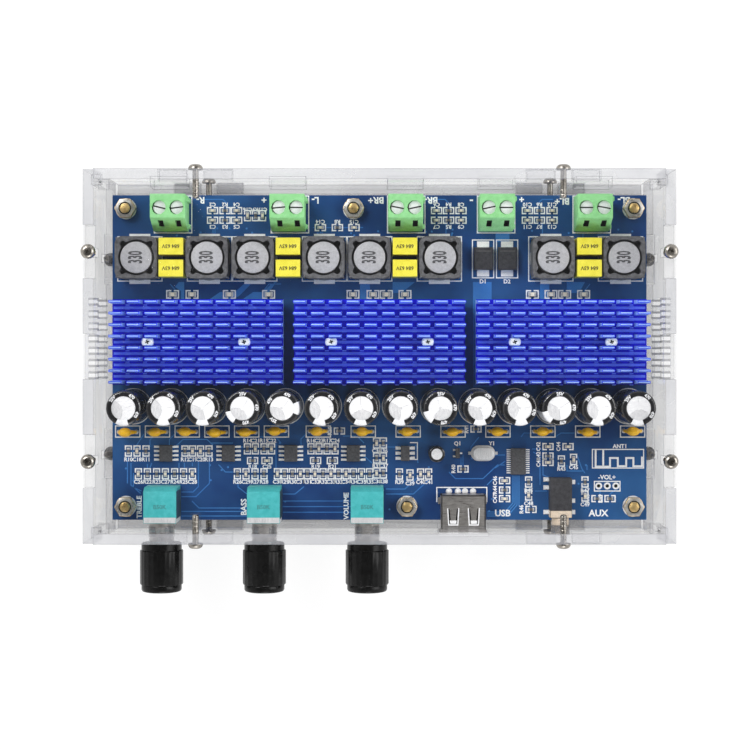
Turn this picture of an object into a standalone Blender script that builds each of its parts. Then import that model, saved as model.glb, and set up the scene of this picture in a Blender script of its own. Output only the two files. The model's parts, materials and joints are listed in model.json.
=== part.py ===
"""Three-channel audio amplifier board in a clear laser-cut case.

Metres, +Z up. The knobs face -Y and the wire terminals face +Y. The origin is the
middle of the front panel's lower edge, on which the case stands.
"""
import math

import bmesh
import bpy
from mathutils import Vector

# Air left between pieces that touch, and round a screw in its hole
SEAT = 0.00025

# Case: flat sheets with tabs, held by small screws
SHEET = 0.003
PANEL_LIP = 0.0025
SIDE_GAP = 0.001
BACK_GAP = 0.00165
FRONT_GAP = 0.00105
HEAD_ROOM = 0.0244
STANDOFF_HEIGHT = 0.008
WALL_TAB = 0.0155
WALL_TAB_SPACE = 0.015
PANEL_FINGER = 0.013
PLATE_TAB = 0.0076
PLATE_TAB_SPACE = 0.0052
PANEL_SCREW_X = 0.0516
VENT_COUNT = 7
VENT_PITCH = 0.0035
VENT_WIDTH = 0.0023
VENT_LENGTH = 0.0161
VENT_RISE = 0.0025
VENT_SHIFT = 0.0009

# Case screws, 2 mm, and board hardware, 3 mm
CASE_SCREW_RADIUS = 0.001
CASE_SCREW_LENGTH = 0.008
CASE_HEAD_RADIUS = 0.0021
CASE_HEAD_HEIGHT = 0.0015
CASE_HEAD_RIM = 0.0006
CASE_HEAD_TOP = 0.0013
STUD_RADIUS = 0.00145
STUD_LENGTH = 0.0048
STANDOFF_FLATS = 0.005
NUT_FLATS = 0.0055
NUT_HEIGHT = 0.0022
FOOT_HEAD_RADIUS = 0.0027
FOOT_HEAD_HEIGHT = 0.0018
HOLE_INSET = 0.004
BACK_HOLE_SHIFT = 0.0019
FRONT_HOLE_OFFSET = 0.0117

# Heatsinks: parallel fins sawn across into short lengths
HEATSINK_COUNT = 3
HEATSINK_LENGTH = 0.05
HEATSINK_DEPTH = 0.025
HEATSINK_HEIGHT = 0.010
HEATSINK_BASE = 0.0025
HEATSINK_GAP = 0.0032
HEATSINK_MARGIN = 0.0008
FIN_COUNT = 8
FIN_ROOT = 0.0011
FIN_TIP = 0.0007
FIN_EDGE = 0.00025
FIN_LENGTHS = 10
SAW_CUT = 0.0014
HEATSINK_SCREW_SPACING = 0.028
HEATSINK_SCREW_RADIUS = 0.0009
CHIP_LENGTH = 0.0141
CHIP_DEPTH = 0.0061
CHIP_HEIGHT = 0.0023

# Rows of parts on the board, from its back edge to its front edge
BOARD_SHEET = 0.0016
TERMINAL_INSET = 0.0006
TERMINAL_DEPTH = 0.0102
TERMINAL_TO_COIL = 0.0019
COIL_SIZE = 0.0123
COIL_TO_HEATSINK = 0.006
HEATSINK_TO_CAN = 0.00145
CAN_RADIUS = 0.005
CAN_TO_DROP = 0.00105
DROP_DEPTH = 0.0028
DROP_TO_CHIP = 0.00255
OPAMP_LENGTH = 0.0049
CHIP_TO_POT = 0.0069
POT_DEPTH = 0.0104

# Output groups: two coils with two film capacitors between them
GROUP_MARGIN_LEFT = 0.00195
GROUP_MARGIN_RIGHT = 0.00155
GROUP_GAP = 0.0011
FILM_LENGTH = 0.0072
FILM_DEPTH = 0.005
FILM_HEIGHT = 0.0095
FILM_EDGE = 0.0004
FILM_TO_COIL = 0.00055
FILM_PITCH = 0.0064
COIL_HEIGHT = 0.008
COIL_CORNER = 0.0019
COIL_CORNER_CUT = 0.00076
COIL_BORE = 0.0052
COIL_NOTCH = 0.0066
COIL_CORE_RADIUS = 0.0046
COIL_GAP_DEPTH = 0.005

# Screw terminals
TERMINAL_PITCH = 0.00508
TERMINAL_HEIGHT = 0.011
TERMINAL_TOP_DEPTH = 0.0069
TERMINAL_TOE_HEIGHT = 0.0032
TERMINAL_SCREW_INSET = 0.0039
TERMINAL_SHIFTS = (-0.0008, -0.0002, 0.0002, 0.0015)
WELL_RADIUS = 0.0021
WELL_DEPTH = 0.004
WIRE_ENTRY_WIDTH = 0.0034
WIRE_ENTRY_HEIGHT = 0.0036
WIRE_ENTRY_RISE = 0.002
WIRE_ENTRY_DEPTH = 0.0045
TEST_HOLE = 0.0011
TEST_HOLE_LEVEL = 0.45
RIB_WIDTH = 0.0013
RIB_OUT = 0.0006
OPENING_WIDTH = 0.0106
OPENING_HEIGHT = 0.009

# Capacitor rows
CAN_HEIGHT = 0.020
CAN_MARGIN_LEFT = 0.0012
CAN_MARGIN_RIGHT = 0.0003
CAN_SPACE = 0.0011
CAN_CRIMP = 0.0025
CAN_NECK = 0.0004
CAN_SHOULDER = 0.0006
DROP_LENGTH = 0.0048
DROP_HEIGHT = 0.0056
# Its foot, belly and crown, as shares of its length, depth and height
DROP_FOOT = (1.05, 0.25, 0.0)
DROP_BELLY = (1.0, 1.0, 0.55)
DROP_CROWN = (0.6, 0.55, 1.0)
DROP_MARGIN_LEFT = 0.0045
DROP_MARGIN_RIGHT = 0.0041
DROP_PITCH = 0.0088
DROP_NEAR_COUNT = 6
DROP_FAR_COUNT = 8
DROP_GROUP_SPACE = 0.0124

# Parts along the chip row, placed from the board's left edge; bodies are width, length, height
OPAMP_COUNT = 4
OPAMP_WIDTH = 0.0039
OPAMP_HEIGHT = 0.0016
OPAMP_MARGIN = 0.0159
OPAMP_PITCH = 0.01845
CHIP_DRAFT = 0.18
CODEC_X = 0.12
CODEC_DROP = 0.0024
CODEC_WIDTH = 0.0044
CODEC_LENGTH = 0.0078
CODEC_HEIGHT = 0.0012
REGULATOR_X = 0.0866
REGULATOR = (0.0026, 0.0045, 0.0015)
TRANSISTOR_X = 0.1021
TRANSISTOR = (0.0013, 0.0029, 0.0011)
CRYSTAL_X = 0.1096
CRYSTAL_LENGTH = 0.0072
CRYSTAL_WIDTH = 0.0046
CRYSTAL_HEIGHT = 0.0034
CRYSTAL_BRIM = 0.0005
CRYSTAL_LID = (0.85, 0.75)
SMALL_CAN_X = 0.0958
SMALL_CAN_RADIUS = 0.0024
SMALL_CAN_HEIGHT = 0.0055
SMALL_CAN_SHOULDER = 0.0003
DIODE_WIDTH = 0.0057
DIODE_LENGTH = 0.0068
DIODE_HEIGHT = 0.0023
DIODE_PITCH = 0.0071
DIODE_TO_COIL = 0.0008
DIODE_TAB_WIDTH = 0.003
DIODE_TAB_LENGTH = 0.0012
DIODE_TAB_AIR = 0.00015

# Front edge: potentiometers with knobs, the two sockets and a pin header's holes
POT_COUNT = 3
POT_MARGIN = 0.0154
POT_PITCH = 0.03
POT_WIDTH = 0.0095
POT_HEIGHT = 0.01135
POT_BACK_HEIGHT = 0.009
POT_BACK_SLOPE = 0.0012
POT_AXIS_HEIGHT = 0.0067
POT_SOCKET_DEPTH = 0.004
SHAFT_RADIUS = 0.003
BUSHING_RADIUS = 0.0036
BUSHING_NUT_HEIGHT = 0.0014
KNOB_RADIUS = 0.0063
KNOB_COLLAR_RADIUS = 0.00585
KNOB_LENGTH = 0.0143
KNOB_COLLAR_LENGTH = 0.0022
KNOB_NOSE_LENGTH = 0.0022
KNOB_BORE_DEPTH = 0.011
USB_OFFSET = 0.0281
USB_WIDTH = 0.013
USB_HEIGHT = 0.007
USB_LENGTH = 0.0108
USB_WALL = 0.0004
USB_FLARE = 0.0007
USB_BACK_INSET = 0.0079
USB_TONGUE_WIDTH = 0.011
USB_TONGUE_THICKNESS = 0.0018
USB_TONGUE_LEVEL = 0.6
AUX_MARGIN = 0.0258
AUX_WIDTH = 0.0064
AUX_HEIGHT = 0.005
AUX_LENGTH = 0.0117
AUX_FRONT_INSET = 0.001
AUX_BARREL_RADIUS = 0.0025
AUX_BARREL_LENGTH = 0.0026
AUX_BORE_RADIUS = 0.0018
AUX_BORE_DEPTH = 0.011
HEADER_MARGIN = 0.0116
HEADER_INSET = 0.01
HEADER_PITCH = 0.00254
HEADER_HOLE_RADIUS = 0.0005

FINISHES = {
    "clear_acrylic": ((0.86, 0.87, 0.88), 0.08, 0.0),
    "blue_board": ((0.01, 0.07, 0.28), 0.35, 0.0),
    "blue_anodised": ((0.03, 0.03, 0.62), 0.35, 0.8),
    "brass": ((0.72, 0.52, 0.22), 0.3, 1.0),
    "tin": ((0.75, 0.75, 0.74), 0.3, 1.0),
    "ferrite": ((0.20, 0.20, 0.21), 0.6, 0.2),
    "terminal_green": ((0.22, 0.62, 0.24), 0.45, 0.0),
    "sleeve_black": ((0.02, 0.02, 0.02), 0.35, 0.0),
    "chip_black": ((0.03, 0.03, 0.03), 0.55, 0.0),
    "pot_teal": ((0.05, 0.50, 0.45), 0.45, 0.0),
    "knob_black": ((0.01, 0.01, 0.01), 0.12, 0.0),
}

# Lengths that follow from the values above
coilOffset = FILM_LENGTH / 2 + FILM_TO_COIL + COIL_SIZE / 2
groupWidth = 2 * coilOffset + COIL_SIZE
heatsinkRow = (HEATSINK_COUNT * HEATSINK_LENGTH + (HEATSINK_COUNT - 1) * HEATSINK_GAP
               + 2 * HEATSINK_MARGIN)
outputRow = (GROUP_MARGIN_LEFT + 4 * groupWidth + 2 * GROUP_GAP + DIODE_PITCH + DIODE_WIDTH
             + 2 * DIODE_TO_COIL + GROUP_MARGIN_RIGHT)
boardLength = max(heatsinkRow, outputRow)
boardDepth = (TERMINAL_INSET + TERMINAL_DEPTH + TERMINAL_TO_COIL + COIL_SIZE + COIL_TO_HEATSINK
              + HEATSINK_DEPTH + HEATSINK_TO_CAN + 2 * CAN_RADIUS + CAN_TO_DROP + DROP_DEPTH
              + DROP_TO_CHIP + OPAMP_LENGTH + CHIP_TO_POT + POT_DEPTH)
innerX = boardLength / 2 + SIDE_GAP
innerY = (boardDepth + BACK_GAP + FRONT_GAP) / 2
outerX = innerX + SHEET
outerY = innerY + SHEET
boardLow = SHEET + STANDOFF_HEIGHT
boardTop = boardLow + BOARD_SHEET
coverLow = boardTop + HEAD_ROOM
coverTop = coverLow + SHEET
leftEdge = -boardLength / 2
rightEdge = boardLength / 2
backEdge = innerY - BACK_GAP
frontEdge = -innerY + FRONT_GAP

# Row centres, back to front
terminalBack = backEdge - TERMINAL_INSET
coilY = terminalBack - TERMINAL_DEPTH - TERMINAL_TO_COIL - COIL_SIZE / 2
heatsinkY = coilY - COIL_SIZE / 2 - COIL_TO_HEATSINK - HEATSINK_DEPTH / 2
canY = heatsinkY - HEATSINK_DEPTH / 2 - HEATSINK_TO_CAN - CAN_RADIUS
dropY = canY - CAN_RADIUS - CAN_TO_DROP - DROP_DEPTH / 2
chipY = dropY - DROP_DEPTH / 2 - DROP_TO_CHIP - OPAMP_LENGTH / 2

# Places along the board
groupPitch = groupWidth + GROUP_GAP
firstGroup = leftEdge + GROUP_MARGIN_LEFT + groupWidth / 2
lastGroup = rightEdge - GROUP_MARGIN_RIGHT - groupWidth / 2
groups = [firstGroup, firstGroup + groupPitch, firstGroup + 2 * groupPitch, lastGroup]
powerX = (groups[2] + lastGroup) / 2
heatsinks = [(i - (HEATSINK_COUNT - 1) / 2) * (HEATSINK_LENGTH + HEATSINK_GAP)
             for i in range(HEATSINK_COUNT)]
pots = [leftEdge + POT_MARGIN + i * POT_PITCH for i in range(POT_COUNT)]
usbX = pots[-1] + USB_OFFSET
auxX = rightEdge - AUX_MARGIN
axisHeight = boardTop + POT_AXIS_HEIGHT
terminals = {
    "terminal_right": groups[0] + TERMINAL_SHIFTS[0],
    "terminal_left": groups[1] + TERMINAL_SHIFTS[1],
    "terminal_bass_right": groups[2] + TERMINAL_SHIFTS[2],
    "terminal_power": powerX,
    "terminal_bass_left": groups[3] + TERMINAL_SHIFTS[3],
}
boardHoles = [(x, y) for x in (leftEdge + HOLE_INSET, rightEdge - HOLE_INSET)
              for y in (backEdge - HOLE_INSET, frontEdge + HOLE_INSET)]
boardHoles.append(((groups[1] + groups[2]) / 2 + BACK_HOLE_SHIFT, backEdge - HOLE_INSET))
boardHoles.append((pots[-1] + FRONT_HOLE_OFFSET, frontEdge + HOLE_INSET))
wallTabs = [outerY - WALL_TAB, outerY - WALL_TAB - WALL_TAB_SPACE]
wallTabEnd = wallTabs[1] - WALL_TAB
wallScrewY = (wallTabs[0] + wallTabs[1]) / 2
wallScrewX = innerX + SHEET / 2
fingerMid = coverTop / 2
standing = (math.pi / 2, 0, 0)
backStanding = (math.pi / 2, 0, math.pi)
sideways = (math.pi / 2, 0, math.pi / 2)
materials = {}


def clearScene():
    for item in list(bpy.data.objects):
        bpy.data.objects.remove(item, do_unlink=True)


def material(name):
    if name not in materials:
        colour, roughness, metallic = FINISHES[name]
        made = bpy.data.materials.new(name)
        made.use_nodes = True
        shader = made.node_tree.nodes["Principled BSDF"]
        shader.inputs["Base Color"].default_value = (*colour, 1)
        shader.inputs["Roughness"].default_value = roughness
        shader.inputs["Metallic"].default_value = metallic
        made.diffuse_color = (*colour, 1)
        materials[name] = made
    return materials[name]


def finished(bm, smooth=False):
    """Turn a bmesh into a mesh with its faces pointing out."""
    bmesh.ops.recalc_face_normals(bm, faces=bm.faces)
    mesh = bpy.data.meshes.new("shape")
    bm.to_mesh(mesh)
    bm.free()
    if smooth:
        mesh.shade_smooth()
        mesh.set_sharp_from_angle(angle=math.radians(40))
    return mesh


def add(name, mesh, finish, location=(0, 0, 0), rotation=(0, 0, 0), parent=None):
    piece = bpy.data.objects.new(name, mesh)
    if not mesh.materials:
        mesh.materials.append(material(finish))
    piece.location = location
    piece.rotation_euler = rotation
    piece.parent = parent or bpy.data.objects["stand"]
    bpy.context.collection.objects.link(piece)
    return piece


def circle(radius, sides, centre=(0, 0), flat=False):
    """Corner points of a regular polygon, or one of that inscribed radius when flat."""
    reach = radius / math.cos(math.pi / sides) if flat else radius
    return [(centre[0] + reach * math.cos(2 * math.pi * i / sides),
             centre[1] + reach * math.sin(2 * math.pi * i / sides)) for i in range(sides)]


def rectangle(x0, x1, y0, y1):
    return [(x0, y0), (x1, y0), (x1, y1), (x0, y1)]


def capsule(width, length, centre, steps=3):
    """Upright slot with round ends."""
    radius = width / 2
    points = []
    for side, start in ((1, 0), (-1, math.pi)):
        middle = centre[1] + side * (length / 2 - radius)
        for i in range(steps + 1):
            angle = start + math.pi * i / steps
            points.append((centre[0] + radius * math.cos(angle), middle + radius * math.sin(angle)))
    return points


def stepped(low, high, level, steps):
    """Edge from low to high at one level, with stretches (start, end, other level)."""
    points = []
    at = low
    for start, end, other in sorted(steps):
        if start > at:
            points += [(at, level), (start, level)]
        points += [(start, other), (end, other)]
        at = end
    if at < high:
        points += [(at, level), (high, level)]
    return points


def fillBetween(bm, loops):
    edges = []
    for loop in loops:
        for a, b in zip(loop, loop[1:] + loop[:1]):
            edges.append(bm.edges.get((a, b)) or bm.edges.new((a, b)))
    bmesh.ops.triangle_fill(bm, use_beauty=True, edges=edges)


def joinRings(bm, near, far):
    """Wall between two rings of points; rings of unlike counts are nested in one plane."""
    if len(near) != len(far):
        fillBetween(bm, (near, far))
        return
    for i in range(len(near)):
        bm.faces.new((near[i - 1], near[i], far[i], far[i - 1]))


def rise(bm, rings):
    """Raise a closed shape from its first ring and return that ring's open loop."""
    loops = [[bm.verts.new(point) for point in ring] for ring in rings]
    for near, far in zip(loops, loops[1:]):
        joinRings(bm, near, far)
    bm.faces.new(loops[-1])
    return loops[0]


def plate(outline, holes, thickness, over=(), under=()):
    """Flat sheet from z = 0 up with its holes cut through, and shapes standing on either face."""
    bm = bmesh.new()
    low = [[bm.verts.new((x, y, 0)) for x, y in loop] for loop in [outline, *holes]]
    high = [[bm.verts.new((v.co.x, v.co.y, thickness)) for v in loop] for loop in low]
    for below, above in zip(low, high):
        joinRings(bm, below, above)
    fillBetween(bm, low + [rise(bm, rings) for rings in under])
    fillBetween(bm, high + [rise(bm, rings) for rings in over])
    return finished(bm)


def skin(rings, closed=False, smooth=False):
    """Solid drawn through rings of points, its ends closed or joined to each other."""
    bm = bmesh.new()
    loops = [[bm.verts.new(point) for point in ring] for ring in rings]
    pairs = list(zip(loops, loops[1:]))
    if closed:
        pairs.append((loops[-1], loops[0]))
    else:
        bm.faces.new(loops[0])
        bm.faces.new(loops[-1])
    for near, far in pairs:
        joinRings(bm, near, far)
    return finished(bm, smooth)


def at(outline, z):
    return [(x, y, z) for x, y in outline]


def lathe(profile, sides, closed=False):
    """Turned shape about Z from (radius, height) points."""
    return skin([at(circle(radius, sides), z) for radius, z in profile], closed, smooth=True)


def block(x0, x1, y0, y1, z0, z1):
    return skin([at(rectangle(x0, x1, y0, y1), z0), at(rectangle(x0, x1, y0, y1), z1)])


def carved(mesh, cuts, unions=()):
    """Mesh with the cut meshes taken away and the union meshes joined on."""
    body = bpy.data.objects.new("carved_body", mesh)
    bpy.context.collection.objects.link(body)
    tools = []
    for kind, shapes in (("UNION", unions), ("DIFFERENCE", cuts)):
        for shape in shapes:
            tool = bpy.data.objects.new("carving_tool", shape)
            tool.hide_render = True
            tool.display_type = "WIRE"
            bpy.context.collection.objects.link(tool)
            boolean = body.modifiers.new(kind.lower(), "BOOLEAN")
            boolean.operation = kind
            boolean.solver = "EXACT"
            boolean.object = tool
            tools.append(tool)
    graph = bpy.context.evaluated_depsgraph_get()
    result = bpy.data.meshes.new_from_object(body.evaluated_get(graph))
    for item in [body, *tools]:
        bpy.data.objects.remove(item, do_unlink=True)
    return result


def turned(profile, sides):
    return [at(circle(radius, sides), z) for radius, z in profile]


def moved(rings, x, y, z=0):
    return [[(px + x, py + y, pz + z) for px, py, pz in ring] for ring in rings]


def box(width, length, height, lean=0.0):
    """Rings of an upright box whose upper half draws in by lean."""
    wide = rectangle(-width / 2, width / 2, -length / 2, length / 2)
    if not lean:
        return [at(wide, 0), at(wide, height)]
    top = rectangle(-width / 2 + lean, width / 2 - lean, -length / 2 + lean, length / 2 - lean)
    return [at(wide, 0), at(wide, max(height / 2, height - 2 * lean)), at(top, height)]


def caseScrews(places, headUp=True):
    """What stands over a sheet and under it where screws are tightened down on it."""
    heads, shafts = [], []
    out = 1 if headUp else -1
    headFace, shaftFace = (SHEET, 0) if headUp else (0, SHEET)
    head = [(CASE_HEAD_RADIUS, 0), (CASE_HEAD_RADIUS, CASE_HEAD_RIM), (CASE_HEAD_TOP, CASE_HEAD_HEIGHT)]
    for x, y in places:
        heads.append(moved(turned([(r, out * z) for r, z in head], 8), x, y, headFace))
        shafts.append(moved(turned([(CASE_SCREW_RADIUS, 0),
                                    (CASE_SCREW_RADIUS, -out * (CASE_SCREW_LENGTH - SHEET))], 6),
                            x, y, shaftFace))
    return (heads, shafts) if headUp else (shafts, heads)


def plateOutline():
    """Base and cover: side notches take the walls' tabs, end tabs pass through the panels."""
    sideEdge = innerX - SEAT
    endEdge = innerY - SEAT
    low, high = wallTabs[1] + SEAT, wallTabs[0] - SEAT
    fingers = [(-high, -low, outerX), (-wallTabEnd + SEAT, wallTabEnd - SEAT, outerX), (low, high, outerX)]
    slotEnd = outerY - CASE_SCREW_LENGTH - SEAT
    slotHalf = CASE_SCREW_RADIUS + SEAT
    tabs = []
    for side in (-1, 1):
        screw = side * PANEL_SCREW_X
        tabs.append((screw - slotHalf, screw + slotHalf, slotEnd))
        for turn in (-1, 1):
            near = screw + turn * PLATE_TAB_SPACE / 2
            far = near + turn * PLATE_TAB
            tabs.append((min(near, far), max(near, far), outerY))
    end = stepped(-sideEdge, sideEdge, endEdge, tabs)
    side = stepped(-endEdge, endEdge, sideEdge, fingers)
    outline = [(x, -y) for x, y in end] + [(x, y) for y, x in side]
    outline += [(-x, y) for x, y in end] + [(-x, -y) for y, x in side]
    return withoutRepeats(outline)


def withoutRepeats(points):
    """Drop each point that lies on the one before it."""
    kept = []
    for point in points:
        if not kept or (Vector(point) - Vector(kept[-1])).length > SEAT / 10:
            kept.append(point)
    if (Vector(kept[0]) - Vector(kept[-1])).length <= SEAT / 10:
        kept.pop()
    return kept


def wallScrewPlaces():
    return [(sx * wallScrewX, sy * wallScrewY) for sx in (-1, 1) for sy in (-1, 1)]


def panelScrewPlaces():
    return [(x, low + SHEET / 2) for low in (0, coverLow) for x in (-PANEL_SCREW_X, PANEL_SCREW_X)]


def makeCase():
    """Six clear sheets; every sheet but the side walls carries the screws driven through it."""
    outline = plateOutline()
    footHoles = [circle(STUD_RADIUS + SEAT, 8, place) for place in boardHoles]
    base = plate(outline, footHoles, SHEET, *caseScrews(wallScrewPlaces(), headUp=False))
    add("base_plate", base, "clear_acrylic")
    cover = plate(outline, [], SHEET, *caseScrews(wallScrewPlaces()))
    add("top_cover", cover, "clear_acrylic", (0, 0, coverLow))

    wall = plate(wallOutline(), ventOutlines(), SHEET)
    add("left_wall", wall, "clear_acrylic", (-outerX, 0, 0), sideways)
    add("right_wall", wall, "clear_acrylic", (innerX, 0, 0), sideways)

    front = [circle(BUSHING_RADIUS + SEAT, 16, (x, axisHeight)) for x in pots]
    flare = USB_FLARE + SEAT
    front.append(rectangle(usbX - USB_WIDTH / 2 - flare, usbX + USB_WIDTH / 2 + flare,
                           boardTop + SEAT - flare, boardTop + SEAT + USB_HEIGHT + flare))
    front.append(circle(AUX_BARREL_RADIUS + SEAT, 12, (auxX, boardTop + SEAT + AUX_HEIGHT / 2)))
    back = [rectangle(-x - OPENING_WIDTH / 2, -x + OPENING_WIDTH / 2, boardTop, boardTop + OPENING_HEIGHT)
            for x in terminals.values()]
    screws = caseScrews(panelScrewPlaces())
    for name, y, holes, rotation in (("front_panel", -innerY, front, standing),
                                     ("back_panel", innerY, back, backStanding)):
        mesh = plate(panelOutline(), panelSlots() + holes, SHEET, *screws)
        add(name, mesh, "clear_acrylic", (0, y, 0), rotation)


def wallOutline():
    """Side wall in (y, z): tabs up and down, fingers through the two panels."""
    slot = CASE_SCREW_RADIUS + SEAT
    slotRise = CASE_SCREW_LENGTH - SHEET + SEAT
    edges = []
    for level, inward in ((0, 1), (coverTop, -1)):
        foot = level + inward * (SHEET + SEAT)
        deep = level + inward * (SHEET + slotRise)
        steps = [(-wallTabEnd, wallTabEnd, foot)]
        for sign in (-1, 1):
            low, high = sorted((sign * wallTabs[0], sign * wallTabs[1]))
            middle = sign * wallScrewY
            steps += [(low, middle - slot, foot), (middle - slot, middle + slot, deep),
                      (middle + slot, high, foot)]
        edges.append(stepped(-outerY, outerY, level, steps))
    fingerLow = fingerMid - PANEL_FINGER / 2
    fingerHigh = fingerMid + PANEL_FINGER / 2
    notch = [(fingerLow, fingerHigh, innerY - SEAT)]
    end = stepped(0, coverTop, outerY, notch)
    outline = edges[0] + [(y, z) for z, y in end]
    outline += edges[1][::-1] + [(-y, z) for z, y in end[::-1]]
    return withoutRepeats(outline)


def ventOutlines():
    low = boardTop + VENT_RISE
    middle = heatsinkY + VENT_SHIFT
    return [capsule(VENT_WIDTH, VENT_LENGTH,
                    (middle + (i - (VENT_COUNT - 1) / 2) * VENT_PITCH, low + VENT_LENGTH / 2))
            for i in range(VENT_COUNT)]


def panelOutline():
    """Front and back panels in (x, z), with a finger at each end."""
    edge = innerX - SEAT
    finger = [(fingerMid - PANEL_FINGER / 2 + SEAT, fingerMid + PANEL_FINGER / 2 - SEAT, outerX)]
    side = stepped(-PANEL_LIP, coverTop + PANEL_LIP, edge, finger)
    return [(x, z) for z, x in side] + [(-x, z) for z, x in side[::-1]]


def panelSlots():
    """Slots for the plates' tabs, a pair either side of each panel screw."""
    holes = []
    for screw, level in panelScrewPlaces():
        for turn in (-1, 1):
            near = screw + turn * PLATE_TAB_SPACE / 2
            x0, x1 = sorted((near, near + turn * PLATE_TAB))
            reach = SHEET / 2 + SEAT
            holes.append(rectangle(x0 - SEAT, x1 + SEAT, level - reach, level + reach))
    return holes


def makeStandoffs():
    """Hex pillars with the screw that comes up through the base and the nut above the board."""
    shaft = circle(STUD_RADIUS, 6)
    head = circle(FOOT_HEAD_RADIUS, 8)
    pillar = circle(STANDOFF_FLATS / 2, 6, flat=True)
    nut = circle(NUT_FLATS / 2, 6, flat=True)
    nutLow = boardTop + SEAT
    nutHigh = nutLow + NUT_HEIGHT
    stack = [at(head, -SEAT - FOOT_HEAD_HEIGHT), at(head, -SEAT), at(shaft, -SEAT),
             at(shaft, SHEET + SEAT), at(pillar, SHEET + SEAT), at(pillar, boardLow - SEAT),
             at(shaft, boardLow - SEAT), at(shaft, nutLow), at(nut, nutLow), at(nut, nutHigh),
             at(shaft, nutHigh), at(shaft, boardLow + STUD_LENGTH)]
    mesh = skin(stack)
    for i, (x, y) in enumerate(boardHoles):
        add(f"standoff_{i + 1}", mesh, "brass", (x, y, 0))


def heatsinkMesh():
    """Base with rows of sawn fin lengths; two through holes for its screws."""
    halfLength = HEATSINK_LENGTH / 2
    halfDepth = HEATSINK_DEPTH / 2
    finPitch = (HEATSINK_DEPTH - 2 * FIN_EDGE - FIN_ROOT) / (FIN_COUNT - 1)
    cutPitch = (HEATSINK_LENGTH + SAW_CUT) / FIN_LENGTHS
    fins = []
    for row in range(FIN_COUNT):
        y = (row - (FIN_COUNT - 1) / 2) * finPitch
        for step in range(FIN_LENGTHS):
            x0 = -halfLength + step * cutPitch + FIN_EDGE * (step == 0)
            x1 = -halfLength + (step + 1) * cutPitch - SAW_CUT - FIN_EDGE * (step == FIN_LENGTHS - 1)
            fins.append([at(rectangle(x0, x1, y - thick / 2, y + thick / 2), z)
                         for thick, z in ((FIN_ROOT, HEATSINK_BASE), (FIN_TIP, HEATSINK_HEIGHT))])
    rim = rectangle(-halfLength, halfLength, -halfDepth, halfDepth)
    holes = [circle(HEATSINK_SCREW_RADIUS + SEAT, 8, (side * HEATSINK_SCREW_SPACING / 2, 0))
             for side in (-1, 1)]
    return plate(rim, holes, HEATSINK_BASE, fins)


def makeHeatsinks(board):
    """Each heatsink lies on the amplifier chip that it cools."""
    fins = heatsinkMesh()
    chipMesh = skin(box(CHIP_LENGTH, CHIP_DEPTH, CHIP_HEIGHT, CHIP_HEIGHT / 10))
    for name, x in zip(("left", "middle", "right"), heatsinks):
        add("amplifier_chip_" + name, chipMesh, "chip_black", (x, heatsinkY, SEAT), parent=board)
        level = 2 * SEAT + CHIP_HEIGHT
        add("heatsink_" + name, fins, "blue_anodised", (x, heatsinkY, level), parent=board)


def coil():
    """Shielded coil: chamfered shield, a ring gap with four notches, and the core's flat top."""
    half = COIL_SIZE / 2
    corner = half - COIL_CORNER
    cut = half - COIL_CORNER_CUT
    outline = []
    for sx, sy in ((1, -1), (1, 1), (-1, 1), (-1, -1)):
        points = [(sx * corner, sy * half), (sx * cut, sy * cut), (sx * half, sy * corner)]
        outline += points if sx * sy < 0 else points[::-1]
    gap = []
    for i in range(16):
        angle = 2 * math.pi * i / 16
        reach = COIL_NOTCH if i % 4 == 2 else COIL_BORE
        gap.append((reach * math.cos(angle), reach * math.sin(angle)))
    core = circle(COIL_CORE_RADIUS, 12)
    floor = COIL_HEIGHT - COIL_GAP_DEPTH
    return [at(outline, 0), at(outline, COIL_HEIGHT), at(gap, COIL_HEIGHT), at(gap, floor),
            at(core, floor), at(core, COIL_HEIGHT)]


def drop():
    """Dipped capacitor: a narrow foot along its two legs, swelling to a fat lens."""
    rings = []
    for length, depth, height in (DROP_FOOT, DROP_BELLY, DROP_CROWN):
        oval = [(length * DROP_LENGTH * x, depth * DROP_DEPTH * y) for x, y in circle(0.5, 8)]
        rings.append(at(oval, height * DROP_HEIGHT))
    return rings


def makeCoils(board):
    mesh = skin(coil())
    places = [x + side * coilOffset for x in groups for side in (-1, 1)]
    for i, x in enumerate(places):
        add(f"inductor_{i + 1}", mesh, "ferrite", (x, coilY, SEAT), parent=board)


def filmParts():
    """A pair of film capacitors between the two coils of each output."""
    return [moved(box(FILM_LENGTH, FILM_DEPTH, FILM_HEIGHT, FILM_EDGE), x, coilY + side * FILM_PITCH / 2)
            for x in groups for side in (-1, 1)]


def diodeParts():
    """Two flat diodes in front of the power terminal, a tab at each end."""
    parts = []
    for side in (-1, 1):
        x = powerX + side * DIODE_PITCH / 2
        parts.append(moved(box(DIODE_WIDTH, DIODE_LENGTH, DIODE_HEIGHT, DIODE_HEIGHT / 8), x, coilY))
        for end in (-1, 1):
            middle = coilY + end * ((DIODE_LENGTH + DIODE_TAB_LENGTH) / 2 + DIODE_TAB_AIR)
            parts.append(moved(box(DIODE_TAB_WIDTH, DIODE_TAB_LENGTH, DIODE_HEIGHT / 3), x, middle))
    return parts


def dropParts():
    """Ceramic capacitors: a close-set group at the left, a wider-set one at the right."""
    near = [leftEdge + DROP_MARGIN_LEFT + i * DROP_PITCH for i in range(DROP_NEAR_COUNT)]
    start = near[-1] + DROP_GROUP_SPACE
    spread = (rightEdge - DROP_MARGIN_RIGHT - start) / (DROP_FAR_COUNT - 1)
    far = [start + i * spread for i in range(DROP_FAR_COUNT)]
    return [moved(drop(), x, dropY) for x in near + far]


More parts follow.
